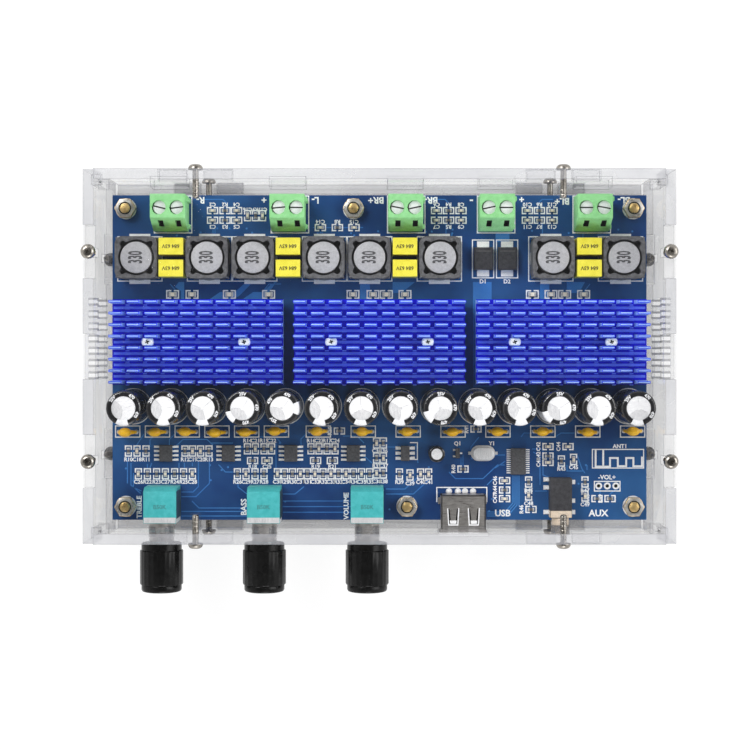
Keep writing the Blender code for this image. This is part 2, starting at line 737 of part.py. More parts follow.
def chipParts():
    """Chips, crystal and small can along the row in front of the ceramic capacitors."""
    bodies = [(OPAMP_MARGIN + i * OPAMP_PITCH, chipY, (OPAMP_WIDTH, OPAMP_LENGTH, OPAMP_HEIGHT))
              for i in range(OPAMP_COUNT)]
    bodies += [(CODEC_X, chipY - CODEC_DROP, (CODEC_WIDTH, CODEC_LENGTH, CODEC_HEIGHT)),
               (REGULATOR_X, chipY, REGULATOR), (TRANSISTOR_X, chipY, TRANSISTOR)]
    parts = [moved(box(*body, body[2] * CHIP_DRAFT), leftEdge + x, y) for x, y, body in bodies]
    brim, crown = ([(y, x) for x, y in capsule(CRYSTAL_WIDTH - inset, CRYSTAL_LENGTH - inset, (0, 0))]
                   for inset in (0, CRYSTAL_BRIM * 2))
    lid = [(x * CRYSTAL_LID[0], y * CRYSTAL_LID[1]) for x, y in crown]
    parts.append(moved([at(brim, 0), at(brim, CRYSTAL_BRIM), at(crown, CRYSTAL_BRIM),
                        at(crown, CRYSTAL_HEIGHT - CRYSTAL_BRIM), at(lid, CRYSTAL_HEIGHT)],
                       leftEdge + CRYSTAL_X, chipY))
    small = turned([(SMALL_CAN_RADIUS, 0), (SMALL_CAN_RADIUS, SMALL_CAN_HEIGHT - SMALL_CAN_SHOULDER),
                    (SMALL_CAN_RADIUS - SMALL_CAN_SHOULDER, SMALL_CAN_HEIGHT)], 10)
    parts.append(moved(small, leftEdge + SMALL_CAN_X, chipY))
    return parts


def makeBoard():
    """Board with its holes and the parts soldered flat on it, which are one piece with it."""
    holes = [circle(STUD_RADIUS + SEAT, 8, place) for place in boardHoles]
    for i in (-1, 0, 1):
        x = rightEdge - HEADER_MARGIN + i * HEADER_PITCH
        holes.append(circle(HEADER_HOLE_RADIUS, 6, (x, frontEdge + HEADER_INSET)))
    parts = filmParts() + diodeParts() + dropParts() + chipParts()
    mesh = plate(rectangle(leftEdge, rightEdge, frontEdge, backEdge), holes, BOARD_SHEET,
                 [moved(rings, 0, 0, BOARD_SHEET) for rings in parts])
    add("circuit_board", mesh, "blue_board", (0, 0, boardLow))


def terminalMesh():
    """Two-pole screw terminal: sloping toe, screw wells, wire entries and side ribs."""
    half = TERMINAL_PITCH
    back = 0
    toe = -TERMINAL_DEPTH
    profile = [(back, SEAT), (back, TERMINAL_HEIGHT), (back - TERMINAL_TOP_DEPTH, TERMINAL_HEIGHT),
               (toe, TERMINAL_TOE_HEIGHT), (toe, SEAT)]
    body = skin([[(-half, y, z) for y, z in profile], [(half, y, z) for y, z in profile]])
    well = circle(WELL_RADIUS, 10)
    cuts = []
    slopeRun = TERMINAL_DEPTH - TERMINAL_TOP_DEPTH
    slopeMid = toe + slopeRun * TEST_HOLE_LEVEL
    slopeHigh = TERMINAL_TOE_HEIGHT + (TERMINAL_HEIGHT - TERMINAL_TOE_HEIGHT) * TEST_HOLE_LEVEL
    for side in (-1, 1):
        x = side * TERMINAL_PITCH / 2
        cuts.append(skin([[(x + px, py - TERMINAL_SCREW_INSET, z) for px, py in well]
                          for z in (TERMINAL_HEIGHT - WELL_DEPTH, TERMINAL_HEIGHT + SHEET)]))
        cuts.append(block(x - WIRE_ENTRY_WIDTH / 2, x + WIRE_ENTRY_WIDTH / 2, back - WIRE_ENTRY_DEPTH,
                          back + SHEET, WIRE_ENTRY_RISE, WIRE_ENTRY_RISE + WIRE_ENTRY_HEIGHT))
        cuts.append(block(x - TEST_HOLE / 2, x + TEST_HOLE / 2, toe - SHEET, slopeMid + TEST_HOLE,
                          slopeHigh - TEST_HOLE / 2, slopeHigh + TEST_HOLE / 2))
    ribs = [block(half - RIB_OUT, half + RIB_OUT, y - RIB_WIDTH / 2, y + RIB_WIDTH / 2, SEAT * 2, high)
            for y, high in ((back - RIB_WIDTH, TERMINAL_HEIGHT - RIB_WIDTH),
                            (toe + RIB_WIDTH, TERMINAL_TOE_HEIGHT))]
    return carved(body, cuts, ribs)


def makeTerminals(board):
    body = terminalMesh()
    for name, x in terminals.items():
        add(name, body, "terminal_green", (x, terminalBack, 0), parent=board)


def makeCans(board):
    """Row of electrolytic cans, as many as the board's length takes."""
    rowLength = boardLength - CAN_MARGIN_LEFT - CAN_MARGIN_RIGHT
    count = int((rowLength + CAN_SPACE) / (2 * CAN_RADIUS + CAN_SPACE))
    pitch = (rowLength - 2 * CAN_RADIUS) / (count - 1)
    can = lathe([(CAN_RADIUS - CAN_NECK / 2, SEAT), (CAN_RADIUS - CAN_NECK, CAN_CRIMP),
                 (CAN_RADIUS, CAN_CRIMP + 2 * CAN_NECK), (CAN_RADIUS, CAN_HEIGHT - CAN_SHOULDER),
                 (CAN_RADIUS - CAN_SHOULDER, CAN_HEIGHT)], 12)
    first = leftEdge + CAN_MARGIN_LEFT + CAN_RADIUS
    for i in range(count):
        add(f"capacitor_{i + 1}", can, "sleeve_black", (first + i * pitch, canY, 0), parent=board)


def upright(x0, x1, z0, z1, depth):
    """Ring of four points on a socket's cross-section, in its own lying frame."""
    return [(x0, z0, depth), (x1, z0, depth), (x1, z1, depth), (x0, z1, depth)]


def makePots():
    """Each potentiometer with its bushing through the panel, and the shaft and knob it turns."""
    half = POT_WIDTH / 2
    low = SEAT - POT_AXIS_HEIGHT
    high = POT_HEIGHT - POT_AXIS_HEIGHT
    front = -SHEET - FRONT_GAP
    back = front - POT_DEPTH
    tip = SEAT + BUSHING_NUT_HEIGHT
    bore = circle(SHAFT_RADIUS + SEAT, 16)
    neck = circle(BUSHING_RADIUS, 16)
    socket = front - POT_SOCKET_DEPTH
    body = skin([upright(-half, half, low, POT_BACK_HEIGHT - POT_AXIS_HEIGHT, back),
                 upright(-half, half, low, high, back + POT_BACK_SLOPE),
                 upright(-half, half, low, high, front), at(neck, front), at(neck, tip),
                 at(bore, tip), at(bore, socket)])

    start = tip + SEAT
    shaft = lathe([(SHAFT_RADIUS, socket + SEAT), (SHAFT_RADIUS, start + KNOB_BORE_DEPTH - SEAT)], 16)
    nose = start + KNOB_LENGTH - KNOB_NOSE_LENGTH
    slope = KNOB_RADIUS - KNOB_COLLAR_RADIUS
    knob = lathe([(SHAFT_RADIUS + SEAT, start + KNOB_BORE_DEPTH), (SHAFT_RADIUS + SEAT, start),
                  (KNOB_COLLAR_RADIUS, start), (KNOB_COLLAR_RADIUS, start + KNOB_COLLAR_LENGTH),
                  (KNOB_RADIUS, start + KNOB_COLLAR_LENGTH + slope), (KNOB_RADIUS, nose - slope),
                  (KNOB_COLLAR_RADIUS, nose), (KNOB_COLLAR_RADIUS, start + KNOB_LENGTH - slope),
                  (KNOB_COLLAR_RADIUS - slope, start + KNOB_LENGTH)], 16)

    for name, x in zip(("treble", "bass", "volume"), pots):
        axis = bpy.data.objects.new("axis_" + name, None)
        axis.parent = bpy.data.objects["stand"]
        axis.location = (x, -outerY, axisHeight)
        axis.rotation_euler = standing
        bpy.context.collection.objects.link(axis)
        add("potentiometer_" + name, body, "pot_teal", parent=axis)
        add("shaft_" + name, shaft, "tin", parent=axis)
        add("knob_" + name, knob, "knob_black", parent=axis)


def makeSockets():
    """USB and round audio sockets, lying towards the front panel."""
    level = boardTop + SEAT
    half = USB_WIDTH / 2
    inner = half - USB_WALL
    mouth = USB_LENGTH - USB_FLARE
    tongue = USB_TONGUE_WIDTH / 2
    tongueLow = USB_HEIGHT * USB_TONGUE_LEVEL - USB_TONGUE_THICKNESS / 2
    tongueHigh = tongueLow + USB_TONGUE_THICKNESS
    socket = skin([upright(-half, half, 0, USB_HEIGHT, 0), upright(-half, half, 0, USB_HEIGHT, mouth),
                   upright(-half - USB_FLARE, half + USB_FLARE, -USB_FLARE, USB_HEIGHT + USB_FLARE,
                           USB_LENGTH),
                   upright(-inner - USB_FLARE, inner + USB_FLARE, USB_WALL - USB_FLARE,
                           USB_HEIGHT - USB_WALL + USB_FLARE, USB_LENGTH),
                   upright(-inner, inner, USB_WALL, USB_HEIGHT - USB_WALL, mouth),
                   upright(-inner, inner, USB_WALL, USB_HEIGHT - USB_WALL, USB_WALL),
                   upright(-tongue, tongue, tongueLow, tongueHigh, USB_WALL),
                   upright(-tongue, tongue, tongueLow, tongueHigh, mouth - USB_FLARE)])
    add("usb_socket", socket, "tin", (usbX, frontEdge + USB_BACK_INSET, level), standing)

    side = AUX_WIDTH / 2
    tip = AUX_LENGTH + AUX_BARREL_LENGTH
    bore = circle(AUX_BORE_RADIUS, 12, (0, AUX_HEIGHT / 2))
    barrel = circle(AUX_BARREL_RADIUS, 12, (0, AUX_HEIGHT / 2))
    jack = skin([upright(-side, side, 0, AUX_HEIGHT, 0), upright(-side, side, 0, AUX_HEIGHT, AUX_LENGTH),
                 at(barrel, AUX_LENGTH), at(barrel, tip), at(bore, tip), at(bore, tip - AUX_BORE_DEPTH)])
    add("aux_jack", jack, "chip_black", (auxX, frontEdge + AUX_FRONT_INSET + AUX_LENGTH, level), standing)


def main():
    clearScene()
    stand = bpy.data.objects.new("stand", None)
    stand.location = (0, innerY + SHEET / 2, PANEL_LIP)
    bpy.context.collection.objects.link(stand)
    board = bpy.data.objects.new("board_level", None)
    board.location = (0, 0, boardTop)
    board.parent = stand
    bpy.context.collection.objects.link(board)
    makeCase()
    makeStandoffs()
    makeBoard()
    makeHeatsinks(board)
    makeCoils(board)
    makeTerminals(board)
    makeCans(board)
    makePots()
    makeSockets()


main()
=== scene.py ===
import json
import math
import random

import bmesh
import bpy
from mathutils import Matrix, Vector
from mathutils.bvhtree import BVHTree


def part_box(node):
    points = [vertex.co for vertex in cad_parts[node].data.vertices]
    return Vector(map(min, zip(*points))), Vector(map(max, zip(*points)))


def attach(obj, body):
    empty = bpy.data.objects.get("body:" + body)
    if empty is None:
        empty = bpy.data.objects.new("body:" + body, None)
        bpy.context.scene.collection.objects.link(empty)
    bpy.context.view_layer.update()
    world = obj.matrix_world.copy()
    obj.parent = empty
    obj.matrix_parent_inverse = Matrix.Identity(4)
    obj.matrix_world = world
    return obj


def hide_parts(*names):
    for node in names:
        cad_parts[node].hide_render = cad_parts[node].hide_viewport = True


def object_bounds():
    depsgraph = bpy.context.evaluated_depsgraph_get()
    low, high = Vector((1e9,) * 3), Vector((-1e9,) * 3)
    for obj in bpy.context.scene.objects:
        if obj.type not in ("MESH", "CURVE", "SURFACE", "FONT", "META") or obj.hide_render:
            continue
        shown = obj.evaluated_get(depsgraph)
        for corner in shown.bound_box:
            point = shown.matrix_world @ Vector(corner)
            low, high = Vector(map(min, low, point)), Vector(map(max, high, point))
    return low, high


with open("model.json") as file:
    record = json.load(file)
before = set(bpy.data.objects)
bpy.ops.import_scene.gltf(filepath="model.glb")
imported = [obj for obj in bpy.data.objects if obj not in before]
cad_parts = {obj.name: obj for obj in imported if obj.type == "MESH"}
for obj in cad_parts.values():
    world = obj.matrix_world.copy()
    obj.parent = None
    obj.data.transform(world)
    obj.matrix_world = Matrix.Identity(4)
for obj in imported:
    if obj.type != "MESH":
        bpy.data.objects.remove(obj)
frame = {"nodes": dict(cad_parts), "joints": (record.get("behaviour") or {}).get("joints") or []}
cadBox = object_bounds()
print("stage: frame loaded")

mm = 0.001
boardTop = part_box("circuit_board")[0].z + 1.6 * mm
sheet = 3 * mm
wallLow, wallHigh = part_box("right_wall")
outerX, frontY, backY = wallHigh.x, wallLow.y, wallHigh.y
caseY, baseLow, coverTop = (frontY + backY) / 2, wallLow.z, wallHigh.z
coverLow = coverTop - sheet
photoScale = 3.3795  # pixels for a millimetre at the board's top face


def onBoard(px, py):
    # place on the board of a point read off the photo
    return (px - 379.5) / photoScale * mm, caseY + (356.5 - py) / photoScale * mm


def middle(node):
    low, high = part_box(node)
    return (low + high) / 2


# node trees


def newTree(name, kind, inputs, outputs):
    tree = bpy.data.node_groups.new(name, kind)
    for label, socket, value in inputs:
        made = tree.interface.new_socket(label, in_out="INPUT", socket_type="NodeSocket" + socket)
        if value is not None:
            made.default_value = value
    for label, socket in outputs:
        tree.interface.new_socket(label, in_out="OUTPUT", socket_type="NodeSocket" + socket)
    return tree, tree.nodes.new("NodeGroupInput").outputs, tree.nodes.new("NodeGroupOutput").inputs


def node(tree, kind, links=(), **settings):
    made = tree.nodes.new(kind)
    for label, value in settings.items():
        setattr(made, label, value)
    for label, value in dict(links).items():
        socket = made.inputs[label]
        if isinstance(value, bpy.types.NodeSocket):
            tree.links.new(value, socket)
        else:
            socket.default_value = value
    return made


def maths(tree, operation, first, second=None, clamp=False):
    links = {0: first} if second is None else {0: first, 1: second}
    return node(tree, "ShaderNodeMath", links, operation=operation, use_clamp=clamp).outputs[0]


def ranged(tree, value, low, high, toLow=0.0, toHigh=1.0):
    return node(tree, "ShaderNodeMapRange", {"Value": value, "From Min": low, "From Max": high,
                                             "To Min": toLow, "To Max": toHigh}).outputs[0]


def makeGrain():
    # fine uneven tone with a matching relief
    tree, given, result = newTree("surface_grain", "ShaderNodeTree",
                                  [("Scale", "Float", 900.0), ("Stretch", "Vector", (1, 1, 1)),
                                   ("Relief", "Float", 0.1)],
                                  [("Tone", "Float"), ("Normal", "Vector")])
    place = node(tree, "ShaderNodeTexCoord").outputs["Object"]
    drawn = node(tree, "ShaderNodeVectorMath", {0: place, 1: given["Stretch"]}, operation="MULTIPLY")
    noise = node(tree, "ShaderNodeTexNoise", {"Vector": drawn.outputs[0], "Scale": given["Scale"],
                                              "Detail": 4.0, "Roughness": 0.6}).outputs["Fac"]
    bump = node(tree, "ShaderNodeBump", {"Height": noise, "Strength": given["Relief"], "Distance": 0.1 * mm})
    tree.links.new(ranged(tree, noise, 0.3, 0.7), result["Tone"])
    tree.links.new(bump.outputs[0], result["Normal"])
    return tree


def makeSmudge():
    # broad clean and dull patches, as handling leaves
    tree, given, result = newTree("handling_smudge", "ShaderNodeTree",
                                  [("Scale", "Float", 60.0), ("Amount", "Float", 0.2)],
                                  [("Mask", "Float")])
    place = node(tree, "ShaderNodeTexCoord").outputs["Object"]
    noise = node(tree, "ShaderNodeTexNoise", {"Vector": place, "Scale": given["Scale"], "Detail": 2.0})
    patches = ranged(tree, noise.outputs["Fac"], 0.42, 0.66)
    tree.links.new(maths(tree, "MULTIPLY", patches, given["Amount"]), result["Mask"])
    return tree


def makeEdgeWearAndHighlight():
    # bright where an edge stands out: wear, and a painted highlight
    tree, given, result = newTree("edge_wear_and_highlight", "ShaderNodeTree", [("Amount", "Float", 0.5)],
                                  [("Mask", "Float")])
    point = node(tree, "ShaderNodeNewGeometry").outputs["Pointiness"]
    edge = ranged(tree, point, 0.52, 0.62)
    tree.links.new(maths(tree, "MULTIPLY", edge, given["Amount"]), result["Mask"])
    return tree


grainTree = makeGrain()
smudgeTree = makeSmudge()
wearHighlightTree = makeEdgeWearAndHighlight()


def mixed(tree, factor, first, second):
    made = tree.nodes.new("ShaderNodeMix")
    made.data_type = "RGBA"
    for socket, value in ((made.inputs[0], factor), (made.inputs[6], first), (made.inputs[7], second)):
        if isinstance(value, bpy.types.NodeSocket):
            tree.links.new(value, socket)
        else:
            socket.default_value = (*value, 1) if isinstance(value, tuple) else value
    return made.outputs[2]


def group(tree, source, **values):
    made = node(tree, "ShaderNodeGroup", node_tree=source)
    for label, value in values.items():
        made.inputs[label].default_value = value
    return made.outputs


def grained(name, colour, second, roughness, scale, stretch=(1, 1, 1), relief=0.1, **smudge):
    # a material's start: two tones in a fine grain, and a mask of dull patches
    made = bpy.data.materials.new(name)
    made.use_nodes = True
    tree = made.node_tree
    shader = tree.nodes["Principled BSDF"].inputs
    grain = group(tree, grainTree, Scale=scale, Stretch=stretch, Relief=relief)
    tree.links.new(grain["Normal"], shader["Normal"])
    tone = mixed(tree, grain["Tone"], colour, second)
    rough = ranged(tree, grain["Tone"], 0.0, 1.0, *roughness)
    return made, tree, shader, tone, rough, group(tree, smudgeTree, **smudge)["Mask"]


def finish(name, colour, second, roughness=(0.4, 0.5), metallic=0.0, scale=900.0, stretch=(1, 1, 1),
           relief=0.1, smudge=0.15, wear=None, shine=None):
    # opaque finish, with edges lightened where asked for, as wear and painted highlight
    made, tree, shader, tone, rough, dull = grained(name, colour, second, roughness, scale, stretch, relief,
                                                    Amount=smudge)
    for label, value in {"Metallic": metallic, **(shine or {})}.items():
        shader[label].default_value = value
    if wear:
        tone = mixed(tree, group(tree, wearHighlightTree, Amount=wear[1])["Mask"], tone, wear[0])
    tree.links.new(tone, shader["Base Color"])
    tree.links.new(maths(tree, "ADD", rough, dull, clamp=True), shader["Roughness"])
    made.diffuse_color = (*colour, 1)
    return made


def clearFinish(name, colour, alpha, roughness):
    # cast acrylic: see-through, with faint haze and dust that change over the sheet
    pale = tuple(min(1.0, c * 1.06) for c in colour)
    made, tree, shader, tone, rough, dull = grained(name, colour, pale, roughness, 350.0, relief=0.02,
                                                    Scale=45.0, Amount=alpha * 0.35)
    shader["IOR"].default_value = 1.49
    tree.links.new(tone, shader["Base Color"])
    tree.links.new(maths(tree, "ADD", dull, alpha, clamp=True), shader["Alpha"])
    tree.links.new(rough, shader["Roughness"])
    made.diffuse_color = (*colour, alpha)
    return made


gloss = {"Coat Weight": 0.4, "Coat Roughness": 0.08}
matt = {"Specular IOR Level": 0.12}
soft = {"Specular IOR Level": 0.3}
look = {
    "coverFace": clearFinish("cover_face", (0.7, 0.71, 0.74), 0.005, (0.03, 0.08)),
    # the grey tints of the back and base sheets and the dark tint of the front and side sheets are painted
    # shade
    "wallFace": clearFinish("wall_face_painted_shade", (0.42, 0.42, 0.45), 0.13, (0.03, 0.08)),
    "panelFace": clearFinish("panel_face_painted_shade", (0.1, 0.1, 0.11), 0.2, (0.03, 0.08)),
    "baseFace": clearFinish("base_face_painted_shade", (0.4, 0.4, 0.43), 0.18, (0.05, 0.12)),
    "slotFace": clearFinish("slot_face", (0.5, 0.5, 0.53), 0.1, (0.1, 0.2)),
    "sheetEdge": clearFinish("sheet_edge", (0.44, 0.445, 0.475), 0.4, (0.12, 0.25)),
    # dark lines on the sheets' bevels: painted shade
    "sheetLine": clearFinish("sheet_line", (0.16, 0.165, 0.18), 0.6, (0.1, 0.2)),
    "mask": finish("solder_mask", (0.001, 0.022, 0.13), (0.024, 0.115, 0.31), (0.45, 0.6), scale=22,
                   relief=0.02, smudge=0.05, shine=matt),
    "copper": finish("masked_copper", (0.03, 0.15, 0.46), (0.06, 0.24, 0.58), (0.4, 0.5), scale=60,
                     relief=0.05, shine=matt),
    "core": finish("board_core", (0.2, 0.24, 0.16), (0.32, 0.34, 0.22), (0.6, 0.8), scale=2500,
                   stretch=(1, 1, 6)),
    "print": finish("board_print", (0.84, 0.86, 0.88), (0.94, 0.95, 0.96), (0.5, 0.6), scale=1500),
    "pad": finish("tinned_pad", (0.88, 0.88, 0.9), (0.97, 0.97, 0.97), (0.3, 0.42), metallic=0.1,
                  scale=1400, relief=0.3),
    "solder": finish("solder_end", (0.42, 0.41, 0.4), (0.78, 0.77, 0.75), (0.28, 0.4), metallic=0.5,
                     scale=1400, relief=0.3),
    "anodised": finish("blue_anodised", (0.003, 0.01, 0.86), (0.012, 0.035, 1.0), (0.25, 0.36),
                       metallic=0.65, scale=500, stretch=(1, 8, 8), relief=0.12, shine=soft),
    # lighter fin tops are a painted highlight; the darker floor between the fins is painted shade
    "finTop": finish("anodised_fin_top_painted_highlight", (0.25, 0.44, 1.0), (0.46, 0.66, 1.0), (0.3, 0.42), metallic=0.2,
                     scale=500, stretch=(1, 8, 8), relief=0.1),
    "finFloor": finish("anodised_floor_painted_shade", (0.002, 0.002, 0.55), (0.006, 0.006, 0.75), (0.25, 0.4),
                       metallic=0.4, scale=260, relief=0.15, shine=soft),
    # the band's lighter blue is a painted highlight
    "finBand": finish("anodised_band_painted_highlight", (0.08, 0.15, 0.98), (0.2, 0.32, 1.0), (0.3, 0.4), metallic=0.2,
                      scale=260, stretch=(1, 6, 6), relief=0.1),
    "screw": finish("screw_nickel", (0.2, 0.185, 0.165), (0.42, 0.39, 0.35), (0.18, 0.3), metallic=1.0,
                    scale=900, relief=0.15),
    "brass": finish("brass_stud", (0.62, 0.42, 0.15), (0.85, 0.62, 0.28), (0.22, 0.35), metallic=0.8,
                    scale=700, relief=0.12),
    "zinc": finish("zinc_screw", (0.8, 0.82, 0.83), (0.96, 0.97, 0.97), (0.28, 0.42), metallic=0.15,
                   scale=600, relief=0.15),
    "nut": finish("nut_nickel", (0.42, 0.4, 0.37), (0.74, 0.72, 0.68), (0.2, 0.34), metallic=0.75,
                  scale=600, relief=0.15),
    "tin": finish("tin_plate", (0.34, 0.32, 0.3), (0.5, 0.48, 0.46), (0.26, 0.4), metallic=0.8,
                  scale=500, stretch=(1, 5, 1), relief=0.1),
    "frame": finish("pot_frame", (0.66, 0.67, 0.68), (0.84, 0.84, 0.85), (0.28, 0.4), metallic=0.35,
                    scale=500, stretch=(5, 1, 1), relief=0.1),
    # the shield's and core's lightened edges are wear and painted highlight
    "shield": finish("ferrite_shield", (0.055, 0.056, 0.06), (0.15, 0.15, 0.16), (0.5, 0.7), metallic=0.1,
                     scale=1100, relief=0.35, wear=((0.45, 0.45, 0.46), 0.6), shine=soft),
    "drum": finish("ferrite_core", (0.32, 0.32, 0.34), (0.44, 0.44, 0.465), (0.45, 0.6), metallic=0.1,
                   scale=1300, relief=0.25, wear=((0.6, 0.6, 0.62), 0.5)),
    "winding": finish("coil_winding", (0.03, 0.03, 0.032), (0.07, 0.065, 0.06), (0.5, 0.7), scale=900),
    "filmInk": finish("film_ink", (0.05, 0.045, 0.008), (0.1, 0.09, 0.015), (0.4, 0.5), scale=1200),
    "potInk": finish("pot_ink", (0.03, 0.2, 0.2), (0.05, 0.27, 0.27), (0.4, 0.5), scale=1200),
    # a thin side strip whose dark colour is painted shade
    "potSide": finish("pot_side_strip_painted_shade", (0.02, 0.05, 0.065), (0.045, 0.085, 0.1), (0.3, 0.45), metallic=0.3,
                      scale=700, stretch=(1, 5, 1), shine=soft),
    "jackBlack": finish("jack_black", (0.022, 0.022, 0.026), (0.05, 0.05, 0.056), (0.35, 0.5), scale=900,
                        relief=0.15, shine=soft),
    "ink": finish("dark_ink", (0.04, 0.04, 0.045), (0.08, 0.08, 0.085), (0.5, 0.6), scale=1200),
    "green": finish("terminal_green", (0.24, 0.62, 0.24), (0.32, 0.72, 0.32), (0.38, 0.5), scale=700,
                    relief=0.15, shine=soft),
    "yellow": finish("film_yellow", (0.72, 0.64, 0.04), (0.82, 0.74, 0.07), (0.28, 0.4), scale=500,
                     relief=0.12, shine={"Coat Weight": 0.2}),
    "sleeve": finish("shrink_sleeve", (0.004, 0.004, 0.005), (0.01, 0.01, 0.012), (0.14, 0.24), scale=500,
                     relief=0.15, shine=gloss),
    "stripe": finish("sleeve_stripe", (0.7, 0.71, 0.73), (0.86, 0.86, 0.88), (0.3, 0.4), scale=900),
    "canTop": finish("can_top", (0.8, 0.8, 0.82), (0.96, 0.96, 0.97), (0.3, 0.44), metallic=0.15,
                     scale=900, stretch=(1, 3, 1), relief=0.2),
    # darker copies of the can top for one sector and for the score grooves: painted shade
    "canShade": finish("can_top_shaded", (0.6, 0.6, 0.62), (0.8, 0.8, 0.81), (0.3, 0.44), metallic=0.2,
                       scale=900, stretch=(3, 1, 1), relief=0.2),
    "score": finish("can_score", (0.46, 0.46, 0.48), (0.62, 0.62, 0.64), (0.4, 0.5), metallic=0.3,
                    scale=900),
    "amber": finish("amber_dip", (0.9, 0.45, 0.003), (0.98, 0.58, 0.006), (0.2, 0.3), scale=400,
                    relief=0.1, shine={"Specular IOR Level": 0.35, "Coat Weight": 0.2}),
    "chip": finish("chip_moulding", (0.05, 0.051, 0.056), (0.1, 0.1, 0.108), (0.45, 0.6), scale=1600,
                   relief=0.3, shine=soft),
    "resistor": finish("resistor_body", (0.07, 0.07, 0.075), (0.18, 0.18, 0.185), (0.4, 0.5), scale=1500),
    "ceramic": finish("chip_capacitor", (0.84, 0.74, 0.58), (0.96, 0.9, 0.78), (0.4, 0.5), scale=1500),
    "teal": finish("pot_teal", (0.04, 0.37, 0.38), (0.07, 0.46, 0.48), (0.32, 0.45), scale=600, relief=0.15,
                   shine=soft),
    "knob": finish("knob_black", (0.005, 0.005, 0.005), (0.01, 0.01, 0.01), (0.16, 0.26), scale=700,
                   relief=0.1, shine={"Specular IOR Level": 0.16}),
    "beige": finish("jack_beige", (0.62, 0.5, 0.38), (0.72, 0.6, 0.47), (0.4, 0.5), scale=800, relief=0.15),
    # near-black finish laid in holes, slots, pockets and recesses: painted shade
    "hole": finish("deep_hole_painted_shade", (0.006, 0.008, 0.006), (0.014, 0.018, 0.014), (0.6, 0.8), scale=800,
                   shine=matt),
}
print("stage: finishes made,", len(look))


# shapes


def circle(radius, sides, centre=(0, 0), start=0.0):
    return [(centre[0] + radius * math.cos(start + 2 * math.pi * i / sides),
             centre[1] + radius * math.sin(start + 2 * math.pi * i / sides)) for i in range(sides)]


def turned(points, angle):
    cos, sin = math.cos(angle), math.sin(angle)
    return [(cos * x - sin * y, sin * x + cos * y) for x, y in points]


def fourTimes(points):
    return [spot for i in range(4) for spot in turned(points, i * math.pi / 2)]


def rectangle(x, y, width, depth, turn=0.0):
    corners = ((-0.5, -0.5), (0.5, -0.5), (0.5, 0.5), (-0.5, 0.5))
    return [(x + a, y + b) for a, b in turned([(a * width, b * depth) for a, b in corners], turn)]


def fillLoops(bm, loops):
    edges = []
    for loop in loops:
        for a, b in zip(loop, loop[1:] + loop[:1]):
            edges.append(bm.edges.get((a, b)) or bm.edges.new((a, b)))
    return bmesh.ops.triangle_fill(bm, use_beauty=True, edges=edges)


def addPrism(bm, outline, low, high, holes=(), mark=0):
    under = [[bm.verts.new((x, y, low)) for x, y in loop] for loop in (outline, *holes)]
    over = [[bm.verts.new((v.co.x, v.co.y, high)) for v in loop] for loop in under]
    before = set(bm.faces)
    for near, far in zip(under, over):
        for i in range(len(near)):
            bm.faces.new((near[i - 1], near[i], far[i], far[i - 1]))
    if holes:
        fillLoops(bm, under)
        fillLoops(bm, over)
    else:
        bm.faces.new(under[0])
        bm.faces.new(over[0])
    for face in set(bm.faces) - before:
        face.material_index = mark


def addRings(bm, rings, capped=True, mark=0):
    # skin through rings of points with equal counts
    loops = [[bm.verts.new(point) for point in ring] for ring in rings]
    for near, far in zip(loops, loops[1:]):
        for i in range(len(near)):
            bm.faces.new((near[i - 1], near[i], far[i], far[i - 1])).material_index = mark
    if capped:
        bm.faces.new(loops[0]).material_index = mark
        bm.faces.new(loops[-1]).material_index = mark
    return loops


def turnedRings(profile, sides, centre=(0, 0), start=0.0):
    return [[(x, y, z) for x, y in circle(radius, sides, centre, start)] for radius, z in profile]


def addRecess(bm, outer, cross, top, low):
    # crossed pit sunk into the face inside an outer loop
    rim = [bm.verts.new((x, y, top)) for x, y in cross]
    pit = [bm.verts.new((x * 0.6, y * 0.6, low)) for x, y in cross]
    for i in range(len(rim)):
        bm.faces.new((rim[i - 1], rim[i], pit[i], pit[i - 1]))
    bm.faces.new(pit)
    fillLoops(bm, [outer, rim])


def toMesh(bm, name, sharp=35.0, turn=None):
    bmesh.ops.recalc_face_normals(bm, faces=bm.faces)
    if turn:
        bmesh.ops.transform(bm, matrix=turn, verts=bm.verts)
    mesh = bpy.data.meshes.new(name)
    bm.to_mesh(mesh)
    bm.free()
    mesh.shade_smooth()
    mesh.set_sharp_from_angle(angle=math.radians(sharp))
    return mesh


def bevelSharp(bm, width, segments=2, angle=30.0):
    edges = [e for e in bm.edges if len(e.link_faces) == 2 and e.calc_face_angle(0) > math.radians(angle)]
    bmesh.ops.bevel(bm, geom=edges, offset=width, segments=segments, profile=0.5, affect="EDGES",
                    clamp_overlap=True)


def edited(mesh):
    bm = bmesh.new()
    bm.from_mesh(mesh)
    return bm


def solidCopy(name, clearance=0.01 * mm):
    # merged copy of a CAD node, its flat faces whole again
    bm = edited(frame["nodes"][name].data)
    bmesh.ops.remove_doubles(bm, verts=bm.verts, dist=clearance)
    bmesh.ops.recalc_face_normals(bm, faces=bm.faces)
    return bm


def flatten(bm):
    bmesh.ops.dissolve_limit(bm, angle_limit=math.radians(1), verts=bm.verts, edges=bm.edges)


def linked(name, data):
    made = bpy.data.objects.new(name, data)
    bpy.context.collection.objects.link(made)
    return made


def baked(holder):
    evaluated = holder.evaluated_get(bpy.context.evaluated_depsgraph_get())
    return bpy.data.meshes.new_from_object(evaluated)


def carved(mesh, cutter):
    # mesh less the cutter's volume
    pair = [linked("carving", item) for item in (mesh, cutter)]
    boolean = pair[0].modifiers.new("carve", "BOOLEAN")
    boolean.operation, boolean.solver, boolean.object = "DIFFERENCE", "EXACT", pair[1]
    made = baked(pair[0])
    for item in pair:
        bpy.data.objects.remove(item, do_unlink=True)
    return made


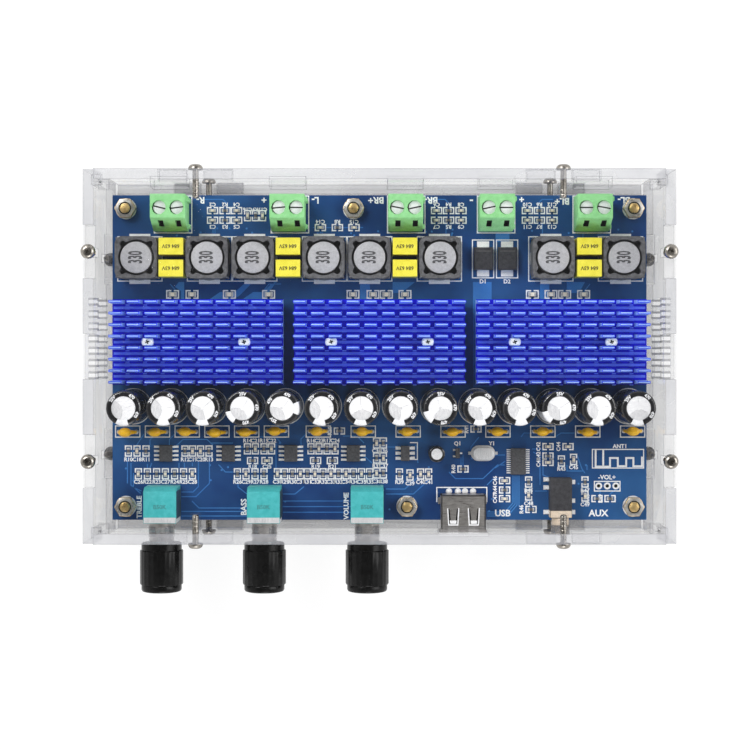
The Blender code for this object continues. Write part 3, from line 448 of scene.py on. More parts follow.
def addPiece(name, mesh, materials, body="case", slotName=None, stands=()):
    for i, material in enumerate(materials):
        if i < len(mesh.materials):
            mesh.materials[i] = look[material]
        else:
            mesh.materials.append(look[material])
    made = linked(name, mesh)
    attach(made, body)
    if stands:
        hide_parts(*stands)


def addBuilt(name, bm, materials, sharp=35.0, turn=None, **more):
    addPiece(name, toMesh(bm, name, sharp, turn), materials, **more)


def addJoined(name, meshes, material, **more):
    addPiece(name, joined(name, meshes), [material], **more)


def addSpread(name, part, places, material, **more):
    addPiece(name, spread(part, places, material), [material], **more)


# geometry nodes


def newGrower(name, inputs):
    return newTree(name, "GeometryNodeTree", [("Points", "Geometry", None), *inputs,
                                              ("Material", "Material", None)], [("Geometry", "Geometry")])


def combine(tree, x=0.0, y=0.0, z=0.0):
    return node(tree, "ShaderNodeCombineXYZ", {0: x, 1: y, 2: z}).outputs[0]


def stored(tree, name, kind):
    return node(tree, "GeometryNodeInputNamedAttribute", {"Name": name}, data_type=kind).outputs[0]


def ownTurn(tree):
    angle = combine(tree, z=stored(tree, "turn", "FLOAT"))
    return node(tree, "FunctionNodeEulerToRotation", {0: angle}).outputs[0]


def onPoints(tree, points, part, turn=None):
    made = node(tree, "GeometryNodeInstanceOnPoints", {"Points": points, "Instance": part})
    if turn:
        tree.links.new(turn, made.inputs["Rotation"])
    return made.outputs[0]


def ended(tree, shape, given, result):
    real = node(tree, "GeometryNodeRealizeInstances", {0: shape})
    painted = node(tree, "GeometryNodeSetMaterial", {"Geometry": real.outputs[0],
                                                     "Material": given["Material"]})
    tree.links.new(painted.outputs[0], result["Geometry"])
    return tree


def makeBrickTree():
    # a short row of bricks on every point, turned by the point's own angle
    tree, given, result = newGrower("bricks_on_points", [
        ("Size", "Vector", (1, 1, 1)), ("Count", "Int", 1), ("Spacing", "Float", 0.0),
        ("Side", "Float", 0.0), ("Rise", "Float", 0.0)])
    gaps = maths(tree, "SUBTRACT", given["Count"], 1.0)
    half = maths(tree, "MULTIPLY", maths(tree, "MULTIPLY", gaps, given["Spacing"]), -0.5)
    line = node(tree, "GeometryNodeMeshLine", {
        "Count": given["Count"], "Start Location": combine(tree, half, given["Side"], given["Rise"]),
        "Offset": combine(tree, given["Spacing"])})
    brick = node(tree, "GeometryNodeMeshCube", {"Size": given["Size"]})
    row = onPoints(tree, line.outputs[0], brick.outputs[0])
    return ended(tree, onPoints(tree, given["Points"], row, ownTurn(tree)), given, result)


def makeCopyTree():
    # one part on every point, its upward side along the point's own direction
    tree, given, result = newGrower("parts_on_points", [("Part", "Object", None)])
    part = node(tree, "GeometryNodeObjectInfo", {"Object": given["Part"]}).outputs["Geometry"]
    tilt = node(tree, "FunctionNodeAlignRotationToVector",
                {"Vector": stored(tree, "aim", "FLOAT_VECTOR")}, axis="Z")
    both = node(tree, "FunctionNodeRotateRotation", {0: tilt.outputs[0], 1: ownTurn(tree)},
                rotation_space="LOCAL")
    return ended(tree, onPoints(tree, given["Points"], part, both.outputs[0]), given, result)


def makeFinTree():
    # heatsink: a base plate and rows of tapered fins sawn into lengths
    tree, given, result = newGrower("sawn_heatsink", [
        ("Length", "Float", 0.05), ("Depth", "Float", 0.025), ("Height", "Float", 0.01),
        ("Base", "Float", 0.0025), ("Fins", "Int", 8), ("Lengths", "Int", 10), ("Saw Cut", "Float", 0.0014),
        ("Fin Root", "Float", 0.0011), ("Fin Tip", "Float", 0.0007), ("Edge", "Float", 0.00025)])

    def plus(a, b):
        return maths(tree, "ADD", a, b)

    def less(a, b):
        return maths(tree, "SUBTRACT", a, b)

    def times(a, b):
        return maths(tree, "MULTIPLY", a, b)

    def over(a, b):
        return maths(tree, "DIVIDE", a, b)

    pitchX = over(plus(given["Length"], given["Saw Cut"]), given["Lengths"])
    finLength = less(pitchX, given["Saw Cut"])
    room = less(less(given["Depth"], times(given["Edge"], 2.0)), given["Fin Root"])
    pitchY = over(room, less(given["Fins"], 1.0))
    rise = less(given["Height"], given["Base"])
    firstX, firstY = times(less(finLength, given["Length"]), 0.5), times(room, -0.5)
    finMid = plus(given["Base"], times(rise, 0.5))
    across = node(tree, "GeometryNodeMeshLine", {
        "Count": given["Lengths"], "Start Location": combine(tree, firstX, firstY, finMid),
        "Offset": combine(tree, pitchX)})
    along = node(tree, "GeometryNodeMeshLine", {"Count": given["Fins"], "Offset": combine(tree, y=pitchY)})
    brick = node(tree, "GeometryNodeMeshCube", {"Size": combine(tree, finLength, given["Fin Root"], rise)})
    spot = node(tree, "GeometryNodeInputPosition")
    parts = node(tree, "ShaderNodeSeparateXYZ", {0: spot.outputs[0]}).outputs
    top = node(tree, "FunctionNodeCompare", {0: parts[2], 1: 0.0}, operation="GREATER_THAN")
    narrow = times(parts[1], over(given["Fin Tip"], given["Fin Root"]))
    fin = node(tree, "GeometryNodeSetPosition", {"Geometry": brick.outputs[0], "Selection": top.outputs[0],
                                                 "Position": combine(tree, parts[0], narrow, parts[2])})
    field = onPoints(tree, along.outputs[0], onPoints(tree, across.outputs[0], fin.outputs[0]))
    footSize = combine(tree, given["Length"], given["Depth"], given["Base"])
    foot = node(tree, "GeometryNodeMeshCube", {"Size": footSize})
    footPlaced = node(tree, "GeometryNodeTransform", {
        "Geometry": foot.outputs[0], "Translation": combine(tree, z=times(given["Base"], 0.5))})
    whole = node(tree, "GeometryNodeJoinGeometry")
    tree.links.new(footPlaced.outputs[0], whole.inputs[0])
    tree.links.new(field, whole.inputs[0])
    return ended(tree, onPoints(tree, given["Points"], whole.outputs[0]), given, result)


def makeThreadTree():
    # a thread's crest: a wire wound round a shaft
    tree, given, result = newGrower("wound_thread", [
        ("Radius", "Float", 0.001), ("Length", "Float", 0.005), ("Pitch", "Float", 0.0004),
        ("Wire", "Float", 0.00012)])
    coil = node(tree, "GeometryNodeCurveSpiral", {
        "Resolution": 10, "Rotations": maths(tree, "DIVIDE", given["Length"], given["Pitch"]),
        "Start Radius": given["Radius"], "End Radius": given["Radius"], "Height": given["Length"]})
    ring = node(tree, "GeometryNodeCurvePrimitiveCircle", {"Resolution": 4, "Radius": given["Wire"]})
    wire = node(tree, "GeometryNodeCurveToMesh", {"Curve": coil.outputs[0], "Profile Curve": ring.outputs[0],
                                                  "Fill Caps": True})
    return ended(tree, wire.outputs[0], given, result)


brickTree = makeBrickTree()
copyTree = makeCopyTree()
finTree = makeFinTree()
threadTree = makeThreadTree()


def grown(tree, places, material, **values):
    # mesh that a tree makes from points of (x, y, z, turn, direction)
    mesh = bpy.data.meshes.new("points")
    mesh.from_pydata([place[:3] for place in places], [], [])
    turn = mesh.attributes.new("turn", "FLOAT", "POINT")
    aim = mesh.attributes.new("aim", "FLOAT_VECTOR", "POINT")
    for i, place in enumerate(places):
        turn.data[i].value = place[3] if len(place) > 3 else 0.0
        aim.data[i].vector = place[4] if len(place) > 4 else (0, 0, 1)
    holder = linked("points", mesh)
    modifier = holder.modifiers.new("grow", "NODES")
    modifier.node_group = tree
    values["Material"] = look[material]
    for item in tree.interface.items_tree:
        label = item.name.replace(" ", "")
        if item.item_type == "SOCKET" and item.in_out == "INPUT" and label in values:
            modifier[item.identifier] = values[label]
    holder.update_tag()
    bpy.context.view_layer.update()
    made = baked(holder)
    bpy.data.objects.remove(holder, do_unlink=True)
    bpy.data.meshes.remove(mesh)
    return made


def spread(part, places, material):
    # copies of a mesh on points
    source = linked("source", part)
    made = grown(copyTree, places, material, Part=source)
    bpy.data.objects.remove(source, do_unlink=True)
    made.shade_smooth()
    made.set_sharp_from_angle(angle=math.radians(35))
    return made


def joined(name, meshes):
    # several meshes of one finish as one
    bm = bmesh.new()
    for mesh in meshes:
        bm.from_mesh(mesh)
    for face in bm.faces:
        face.material_index = 0
    mesh = bpy.data.meshes.new(name)
    bm.to_mesh(mesh)
    bm.free()
    return mesh


def written(text, size, x, y, z, turn=0.0, thick=0.016 * mm, squeeze=1.0, bold=0.03):
    # lettering as a thin solid on a level face
    curve = bpy.data.curves.new("lettering", "FONT")
    curve.body = text
    curve.size = size
    curve.align_x = curve.align_y = "CENTER"
    curve.resolution_u = 2
    curve.offset = size * bold
    curve.extrude = thick / 2
    holder = linked("lettering", curve)
    bpy.context.view_layer.update()
    made = baked(holder)
    bpy.data.objects.remove(holder)
    bpy.data.curves.remove(curve)
    narrow = Matrix.Diagonal((squeeze, 1, 1, 1))
    made.transform(Matrix.Translation((x, y, z + thick / 2)) @ Matrix.Rotation(turn, 4, "Z") @ narrow)
    return made


print("stage: node trees made")


# clear case

case = {"bevel": 0.12 * mm, "thread": 0.11 * mm, "pitch": 0.42 * mm}
sheets = {"base_plate": (2, baseLow, baseLow + sheet), "top_cover": (2, coverLow, coverTop),
          "front_panel": (1, frontY, frontY + sheet), "back_panel": (1, backY - sheet, backY),
          "left_wall": (0, -outerX, sheet - outerX), "right_wall": (0, outerX - sheet, outerX)}


def clearSheet(name, axis, low, high):
    # the CAD sheet without the screws that are one solid with it
    bm = solidCopy(name)
    slack = 0.02 * mm
    extra = [v for v in bm.verts if v.co[axis] < low - slack or v.co[axis] > high + slack]
    bmesh.ops.delete(bm, geom=extra, context="VERTS")
    loose = [v for v in bm.verts if not v.link_faces]
    bmesh.ops.delete(bm, geom=loose, context="VERTS")
    rimEdges = [e for e in bm.edges if e.is_boundary]
    if rimEdges:
        bmesh.ops.holes_fill(bm, edges=rimEdges, sides=0)
    flatten(bm)
    bevelSharp(bm, case["bevel"], segments=1)
    bmesh.ops.recalc_face_normals(bm, faces=bm.faces)
    lows = [min(v.co[k] for v in bm.verts) + 0.3 * mm for k in range(3)]
    highs = [max(v.co[k] for v in bm.verts) - 0.3 * mm for k in range(3)]
    for face in bm.faces:
        straight = max(abs(part) for part in face.normal)
        # bevel faces take the dark line finish, which is painted shade
        face.material_index = 0 if abs(face.normal[axis]) > 0.98 else 1 if straight > 0.98 else 2
        at = face.calc_center_median()
        sunk = all(lows[k] < at[k] < highs[k] for k in range(3) if k != axis)
        if sunk and face.material_index == 1:
            face.material_index = 3
    # the base, back, front and side sheets take tints that are painted shade
    faceFinish = {"top_cover": "coverFace", "base_plate": "baseFace",
                  "back_panel": "wallFace"}.get(name, "panelFace")
    addBuilt(name + "_sheet", bm, [faceFinish, "sheetEdge", "sheetLine", "slotFace"],
             slotName="clear_acrylic", stands=[name])


for sheetName, (axis, low, high) in sheets.items():
    clearSheet(sheetName, axis, low, high)
print("stage: case sheets done")


# case screws

caseScrew = {"headRadius": 2.1 * mm, "headHeight": 1.5 * mm, "shaft": 0.88 * mm, "length": 8 * mm,
             "recess": 1.1 * mm, "recessWidth": 0.34 * mm, "threaded": 5.4 * mm, "fromEnd": 23 * mm,
             "aside": 51.6 * mm}


def screwMesh():
    # domed head with a crossed recess, pointing up, shaft below
    bm = bmesh.new()
    r, h, shaft, end = (caseScrew[k] for k in ("headRadius", "headHeight", "shaft", "length"))
    profile = ((0.985, 0.0), (1, 0.12), (0.98, 0.34), (0.9, 0.62), (0.74, 0.86), (0.58, 0.97))
    loops = addRings(bm, turnedRings([(r * wide, h * up) for wide, up in profile], 24), capped=False)
    bm.faces.new(loops[0])
    reach, width = caseScrew["recess"] / 2, caseScrew["recessWidth"] / 2
    top = [bm.verts.new((x, y, h)) for x, y in circle(r * 0.5, 24)]
    for i in range(24):
        bm.faces.new((loops[-1][i - 1], loops[-1][i], top[i], top[i - 1]))
    addRecess(bm, top, fourTimes(((width, -width), (reach, -width), (reach, width))), h, h * 0.45)
    addRings(bm, turnedRings([(shaft, 0.02 * mm), (shaft, 0.3 * mm - end), (shaft * 0.7, -end)], 14))
    return toMesh(bm, "screw", sharp=40)


def makeCaseScrews():
    rnd = random.Random(4)
    places = []
    wallX, wallY = outerX - sheet / 2, (backY - frontY) / 2 - caseScrew["fromEnd"]
    for sx in (-1, 1):
        for sy in (-1, 1):
            for z, up in ((coverTop, 1), (baseLow, -1)):
                places.append((sx * wallX, caseY + sy * wallY, z, rnd.random() * 3, (0, 0, up)))
    for sx in (-1, 1):
        for z in (baseLow + sheet / 2, coverLow + sheet / 2):
            for side, y in ((-1, frontY), (1, backY)):
                places.append((sx * caseScrew["aside"], y, z, rnd.random() * 3, (0, side, 0)))
    wire = grown(threadTree, [(0, 0, 0)], "screw", Radius=caseScrew["shaft"] - 0.01 * mm,
                 Length=caseScrew["threaded"], Pitch=case["pitch"], Wire=case["thread"])
    wire.transform(Matrix.Translation((0, 0, -caseScrew["length"] + 0.25 * mm)))
    addJoined("case_screws", [spread(part, places, "screw") for part in (screwMesh(), wire)], "screw")


makeCaseScrews()
print("stage: case screws done")


# board

board = {"copperRise": 0.03 * mm, "printRise": 0.05 * mm, "printWidth": 0.3 * mm, "outline": 0.38 * mm,
         "traceWidth": 0.28 * mm, "vias": 70, "via": 0.32 * mm, "hole": 1.7 * mm, "pinHole": 0.5 * mm}
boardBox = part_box("circuit_board")
boardHoles = [(x * mm, caseY + y * mm) for x, y in
              ((-75.0, 43.7), (75.0, 43.7), (-75.0, -44.3), (75.0, -44.3), (-7.7, 43.7), (8.1, -44.3))]
headerHoles = [(x * mm, caseY - 38.3 * mm) for x in (64.86, 67.4, 69.94)]


def addStrip(bm, points, width, low, high, closed=False):
    # flat strip along a path with mitred corners
    count = len(points)
    left, right = [], []
    for i, (x, y) in enumerate(points):
        ahead = points[(i + 1) % count] if closed or i + 1 < count else None
        back = points[i - 1] if closed or i > 0 else None
        normals = []
        for a, b in ((back, (x, y)), ((x, y), ahead)):
            if a and b:
                run = Vector((b[0] - a[0], b[1] - a[1])).normalized()
                normals.append(Vector((-run.y, run.x)))
        side = sum(normals, Vector((0, 0))).normalized()
        reach = width / 2 / max(0.5, side.dot(normals[0]))
        left.append((x + side.x * reach, y + side.y * reach))
        right.append((x - side.x * reach, y - side.y * reach))
    pairs = range(count if closed else count - 1)
    verts = [[bm.verts.new((px, py, z)) for px, py in row] for row in (left, right) for z in (low, high)]
    lowLeft, highLeft, lowRight, highRight = verts
    for i in pairs:
        j = (i + 1) % count
        bm.faces.new((lowLeft[i], lowLeft[j], lowRight[j], lowRight[i]))
        bm.faces.new((highLeft[i], highRight[i], highRight[j], highLeft[j]))
        bm.faces.new((lowLeft[i], highLeft[i], highLeft[j], lowLeft[j]))
        bm.faces.new((lowRight[i], lowRight[j], highRight[j], highRight[i]))
    if not closed:
        for i in (0, count - 1):
            bm.faces.new((lowLeft[i], lowRight[i], highRight[i], highLeft[i]))


def makeBoardSheet():
    low, high = boardBox
    bm = bmesh.new()
    outline = [(low.x, low.y), (high.x, low.y), (high.x, high.y), (low.x, high.y)]
    holes = [circle(board["hole"], 20, spot) for spot in boardHoles]
    holes += [circle(board["pinHole"], 12, spot) for spot in headerHoles]
    addPrism(bm, outline, low.z, boardTop, holes)
    bmesh.ops.recalc_face_normals(bm, faces=bm.faces)
    for face in bm.faces:
        face.material_index = 0 if abs(face.normal.z) > 0.5 else 1
    addBuilt("board_sheet", bm, ["mask", "core"], slotName="blue_board", stands=["circuit_board"])


def fromCrop(points, left, top):
    # points read off a five times enlarged crop of the photo
    return [onBoard(left + x / 5, top + y / 5) for x, y in points]


traces = {
    (95, 425): [[(162, 292), (162, 172), (245, 45)], [(180, 190), (180, 300), (228, 342)],
                [(192, 240), (192, 312), (232, 330)], [(284, 190), (274, 215)],
                [(372, 125), (372, 72), (410, 35)], [(385, 125), (440, 72), (560, 72)],
                [(517, 180), (517, 308), (490, 335), (432, 335)],
                [(572, 155), (572, 292), (505, 358), (432, 358)], [(485, 380), (520, 415), (765, 415)],
                [(432, 432), (765, 432)], [(432, 455), (765, 455)], [(940, 345), (1000, 345), (1045, 308)],
                [(940, 380), (1285, 380)], [(940, 408), (1285, 408)], [(940, 436), (1285, 436)],
                [(618, 198), (652, 235), (712, 235)], [(575, 90), (690, 90)], [(447, 190), (447, 225)],
                [(487, 190), (487, 205)], [(905, 90), (905, 235)], [(300, 40), (275, 75), (275, 110)],
                [(560, 72), (590, 100)], [(1240, 55), (1310, 55), (1345, 90)], [(420, 190), (420, 215)],
                [(750, 60), (905, 60), (930, 90)], [(715, 270), (715, 310), (760, 345)],
                [(262, 195), (262, 222)], [(1060, 40), (1030, 70), (1030, 110)],
                [(1340, 150), (1385, 190)]],
    (375, 425): [[(370, 235), (402, 268), (540, 268), (612, 200), (648, 200)],
                 [(55, 345), (192, 345), (268, 275)], [(55, 320), (150, 320), (212, 262)],
                 [(600, 215), (650, 182)], [(690, 252), (690, 390), (650, 435), (560, 435)],
                 [(700, 252), (700, 395), (655, 445), (560, 445)],
                 [(710, 252), (710, 400), (664, 455), (560, 455)], [(720, 252), (720, 405), (748, 432)],
                 [(440, 150), (440, 205)], [(430, 160), (430, 205)], [(590, 150), (650, 150)],
                 [(785, 120), (840, 120), (840, 250), (870, 262)], [(792, 135), (825, 155), (825, 300)],
                 [(1010, 150), (1035, 220), (1050, 240)], [(1050, 320), (1050, 335)],
                 [(960, 200), (960, 230), (1040, 230)], [(730, 60), (745, 40), (850, 40)],
                 [(520, 60), (480, 110), (480, 130)], [(900, 60), (930, 40), (1000, 40)],
                 [(1125, 320), (1125, 355)], [(1205, 320), (1175, 345), (1175, 355)],
                 [(580, 370), (600, 370)], [(770, 370), (770, 400)], [(800, 330), (860, 330)],
                 [(60, 110), (110, 110)], [(205, 100), (215, 190)], [(640, 270), (590, 270), (560, 300)],
                 [(1060, 200), (1060, 225)]],
    (95, 135): [[(530, 322), (640, 322), (660, 342), (660, 370)], [(600, 465), (600, 510)],
                [(1090, 463), (1340, 463)], [(1138, 475), (1138, 510)], [(375, 745), (402, 775)],
                [(850, 775), (905, 735), (905, 728)], [(590, 465), (590, 500), (560, 520)],
                [(930, 745), (870, 745), (845, 775)]],
    (375, 135): [[(270, 322), (350, 322), (375, 347), (375, 370)], [(355, 440), (355, 510)],
                 [(890, 322), (835, 322), (812, 345), (812, 370)], [(837, 440), (837, 505)],
                 [(1040, 490), (1040, 545)], [(1075, 745), (1045, 782)], [(590, 600), (600, 600)],
                 [(1110, 500), (1250, 500)], [(160, 745), (130, 775)]]}
pours = [((95, 135), [(575, 820), (625, 785), (700, 785), (755, 735), (790, 735), (720, 805), (690, 820)]),
         ((95, 135), [(740, 820), (790, 785), (840, 785), (880, 745), (900, 745), (860, 800), (840, 820)]),
         ((95, 135), [(418, 735), (446, 735), (446, 820), (430, 820), (430, 780), (400, 760)]),
         ((95, 135), [(1325, 745), (1375, 745), (1375, 820), (1325, 820)]),
         ((375, 135), [(490, 735), (583, 735), (583, 1260), (490, 1260)]),
         ((375, 135), [(603, 490), (672, 490), (672, 535), (603, 535)]),
         ((375, 135), [(88, 735), (200, 735), (170, 760), (130, 790), (88, 790)]),
         ((375, 135), [(825, 745), (872, 745), (872, 820), (825, 820)]),
         ((375, 135), [(958, 735), (1050, 735), (1020, 790), (958, 790)])]


def makeCopper():
    bm, rise = bmesh.new(), board["copperRise"]
    for (left, top), paths in traces.items():
        for path in paths:
            addStrip(bm, fromCrop(path, left, top), board["traceWidth"], boardTop, boardTop + rise)
    for (left, top), outline in pours:
        addPrism(bm, fromCrop(outline, left, top), boardTop, boardTop + rise * 0.8)
    rnd = random.Random(11)
    for i in range(board["vias"]):
        px, py = rnd.uniform(118, 640), rnd.choice((rnd.uniform(436, 515), rnd.uniform(228, 236)))
        addPrism(bm, circle(board["via"], 8, onBoard(px, py)), boardTop, boardTop + rise * 1.2)
    addBuilt("board_copper", bm, ["copper"], slotName="blue_board")


makeBoardSheet()
makeCopper()
print("stage: board sheet and copper done")


# small surface parts, read off the photo

flat, upright = 0.0, math.pi / 2


def rowOf(y, turn, *found):
    return [(x, y, turn) for x in found]


smallParts = {
    "big": rowOf(294.4, flat, 172.6, 192, 229.4, 268.6, 353, 373, 386.4, 405, 532.4, 551, 564.6, 583.6),
    "resistor": [(x, y, flat) for x in (225, 448.6, 539.4) for y in (210.6, 220.2)] + [
        (337.4, 227.6, flat), (255.4, 215.6, upright), *rowOf(451, upright, 128.4, 146, 185, 209),
        *rowOf(448.8, upright, 247.4, 264, 311, 327), (252.6, 460.6, flat), (315.6, 460.6, flat),
        (339.4, 431, flat), (332.4, 460.6, flat),
        *rowOf(473.8, upright, 147.4, 156.6, 174.6, 183.6, 237.4, 255, 264, 284.6, 292.4, 307.4, 323, 338.4,
               353.6, 369.6),
        (383.4, 443, upright), (376.6, 458, upright), (383.4, 473, upright), (399.4, 474, upright),
        (463, 469, flat), (476, 429, flat), (548, 456, flat), (561.4, 461, upright), (504.6, 490, flat),
        (528.6, 482, upright), (531, 509.4, flat), (585, 482, upright), (597, 498.6, flat),
        (610, 498.6, flat)],
    "capacitor": [(x, y, flat) for x in (212.6, 236.6, 436.6, 461, 527.4, 552) for y in (210.6, 220.2)] + [
        *rowOf(227.6, flat, 320.4, 354), *rowOf(215.6, upright, 247.6, 262.6),
        *rowOf(451, upright, 137, 192.6, 200.6), *rowOf(448.8, upright, 255.4, 271.6, 319, 335),
        (267, 460.6, flat),
        *rowOf(473.8, upright, 138.4, 165.4, 192.4, 246, 277.4, 300.4, 315, 331, 346, 361.6),
        (376.6, 443, upright), (383.4, 458, upright), (376.6, 473, upright), (410, 475, upright),
        (420.6, 474, upright), (428.6, 474, upright), (548, 446.6, flat), (548, 462.4, flat),
        (568, 446.6, flat), (573.6, 459.4, upright), (504.6, 480.6, flat), (504.6, 498.6, flat),
        (528.6, 495, upright), (585, 496, upright)]}
partSizes = {  # body length, width, height, end length, pad overhang
    "big": (2.0, 1.25, 0.85, 0.46, 0.18), "resistor": (1.6, 0.8, 0.45, 0.38, 0.14),
    "capacitor": (1.6, 0.8, 0.75, 0.4, 0.14)}


def makeSmallParts():
    ends, pads, outlines = [], [], bmesh.new()
    low, high = boardTop, boardTop + board["printRise"]
    for kind, found in smallParts.items():
        length, width, height, end, overhang = (v * mm for v in partSizes[kind])
        places = [(*onBoard(px, py), boardTop, turn) for px, py, turn in found]
        bm = edited(grown(brickTree, places, "resistor", Rise=height * 0.47 + 0.06 * mm,
                          Size=(length - 2 * end, width * 0.96, height * 0.94)))
        bevelSharp(bm, 0.05 * mm, segments=1)
        addBuilt("small_" + kind, bm, ["resistor" if kind == "resistor" else "ceramic"],
                 slotName="blue_board")
        ends.append(grown(brickTree, places, "solder", Size=(end, width, height), Count=2,
                          Spacing=length - end, Rise=height / 2 + 0.05 * mm))
        pads.append(grown(brickTree, places, "pad", Size=(end + overhang, width * 1.12, 0.12 * mm), Count=2,
                          Spacing=length - end + overhang, Rise=0.06 * mm))
        reach, wide = length / 2 + overhang + 0.55 * mm, width / 2 + 0.48 * mm
        for x, y, z, turn in places:
            for side in (-1, 1):
                path = [(side * 0.22 * reach, wide), (side * reach, wide), (side * reach, -wide),
                        (side * 0.22 * reach, -wide)]
                addStrip(outlines, [(x + a, y + b) for a, b in turned(path, turn)], board["outline"], low,
                         high)
    bm = edited(joined("ends", ends))
    bevelSharp(bm, 0.05 * mm, segments=1)
    addBuilt("small_ends", bm, ["solder"], slotName="blue_board")
    addJoined("small_pads", pads, "pad", slotName="blue_board")
    addBuilt("small_outlines", outlines, ["print"], slotName="blue_board")


makeSmallParts()
print("stage: small parts done")

# heatsinks

heatsink = {"base": 2.5 * mm, "fins": 8, "lengths": 10, "cut": 1.4 * mm, "root": 1.1 * mm, "tip": 0.7 * mm,
            "edge": 0.25 * mm, "burr": 0.18 * mm, "band": 0.75 * mm, "screwUp": 4.4 * mm,
            "screwSpacing": 28 * mm, "headRadius": 1.75 * mm, "headFlat": 1.08 * mm, "headHeight": 1.5 * mm}


def makeHeatsinks():
    screws, bands, cutHighlights = [], [], []
    cut, root, edge, fins, lengths = (heatsink[k] for k in ("cut", "root", "edge", "fins", "lengths"))
    for side in ("left", "middle", "right"):
        name = "heatsink_" + side
        low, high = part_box(name)
        spot, top = middle(name), high.z - 0.1 * mm
        bm = edited(grown(finTree, [(spot.x, spot.y, low.z)], "anodised", Length=high.x - low.x,
                          Depth=high.y - low.y, Height=high.z - low.z, Base=heatsink["base"], Fins=fins,
                          Lengths=lengths, SawCut=cut, FinRoot=root, FinTip=heatsink["tip"], Edge=edge))
        # upward faces: fin tops painted lighter as a highlight, the floor between the fins painted darker as
        # shade
        for face in bm.faces:
            if face.normal.z > 0.9:
                face.material_index = 1 if face.calc_center_median().z > top else 2
        tips = [e for e in bm.edges if min(v.co.z for v in e.verts) > top]
        bmesh.ops.bevel(bm, geom=tips, offset=heatsink["burr"], segments=1, profile=0.5, affect="EDGES",
                        clamp_overlap=True, material=0)
        addBuilt(name + "_fins", bm, ["anodised", "finTop", "finFloor"], slotName="blue_anodised",
                 stands=[name])
        level = low.z + heatsink["base"]
        screws += [(spot.x + s * heatsink["screwSpacing"] / 2, spot.y, level + heatsink["screwUp"], 0.0)
                   for s in (-1, 1)]
        pitch = (high.y - low.y - 2 * edge - root) / (fins - 1)
        for i in range(fins):
            y = spot.y + (i - (fins - 1) / 2) * pitch
            cutHighlights.append((spot.x, y - root / 2 - 0.3 * mm, level))
            if i:
                bands.append((spot.x, y - pitch / 2, level))
    # a low band along the floor between the fins, painted lighter as a highlight, and patches beside each
    # saw cut, painted lighter as light on the floor
    long = high.x - low.x
    row = {"Count": lengths - 1, "Spacing": (long + cut) / lengths}
    band = grown(brickTree, bands, "finBand", Size=(long - 0.8 * mm, heatsink["band"], 0.08 * mm),
                 Rise=0.04 * mm)
    addPiece("heatsink_bands", band, ["finBand"], slotName="blue_anodised")
    marks = [grown(brickTree, cutHighlights, "finTop", Size=(0.8 * cut, 0.35 * mm, 0.1 * mm), Rise=0.05 * mm, **row),
             grown(brickTree, bands, "finBand", Size=(cut, 0.9 * mm, 0.12 * mm), Rise=0.06 * mm, **row)]
    addJoined("heatsink_saw_marks", marks, "finBand", slotName="blue_anodised")
    tall = heatsink["headHeight"]
    # dark crosses laid over the screw heads' recesses: painted shade
    crossShades = [(x, y, z + tall, turn) for x, y, z, turn in screws for turn in (0.4, 0.4 + math.pi / 2)]
    cross = grown(brickTree, crossShades, "hole", Size=(1.2 * mm, 0.3 * mm, 0.03 * mm))
    addPiece("heatsink_screw_crosses", cross, ["hole"])
    bm = bmesh.new()
    side = heatsink["headFlat"]
    head = [(x, max(-side, min(side, y))) for x, y in circle(heatsink["headRadius"], 24)]
    rings = [[(x * k, y * k, z) for x, y in head] for k, z in
             ((0.97, 0.02 * mm), (1, 0.15 * mm), (1, 0.9 * mm), (0.93, 1.25 * mm), (0.75, tall))]
    loops = addRings(bm, rings, capped=False)
    bm.faces.new(loops[0])
    thin, reach = 0.16 * mm, 0.6 * mm
    addRecess(bm, loops[-1], fourTimes(((thin, -thin), (reach, -thin), (reach, thin))), tall, 0.8 * mm)
    addPrism(bm, circle(0.95 * mm, 14), 0.1 * mm - heatsink["screwUp"], 0.3 * mm)
    addSpread("heatsink_screws", toMesh(bm, "head"), screws, "zinc")


makeHeatsinks()
print("stage: heatsinks done")


# shielded inductors

inductor = {"corner": 1.9 * mm, "gapOuter": 5.2 * mm, "gapInner": 4.6 * mm, "gapDepth": 5 * mm,
            "notch": 6.5 * mm, "round": 0.35 * mm, "mark": 5.6 * mm, "markDepth": 0.02 * mm, "coilTurns": 9}


def notchedCircle(sides=64):
    # the shield's bore with four rounded notches on the diagonals
    points = []
    for i in range(sides):
        angle = 2 * math.pi * i / sides
        away = abs((angle - math.pi / 4 + math.pi / 4) % (math.pi / 2) - math.pi / 4)
        reach = inductor["gapOuter"] + (inductor["notch"] - inductor["gapOuter"]) * max(
            0.0, 1 - (away / 0.2) ** 4)
        points.append((reach * math.cos(angle), reach * math.sin(angle)))
    return points


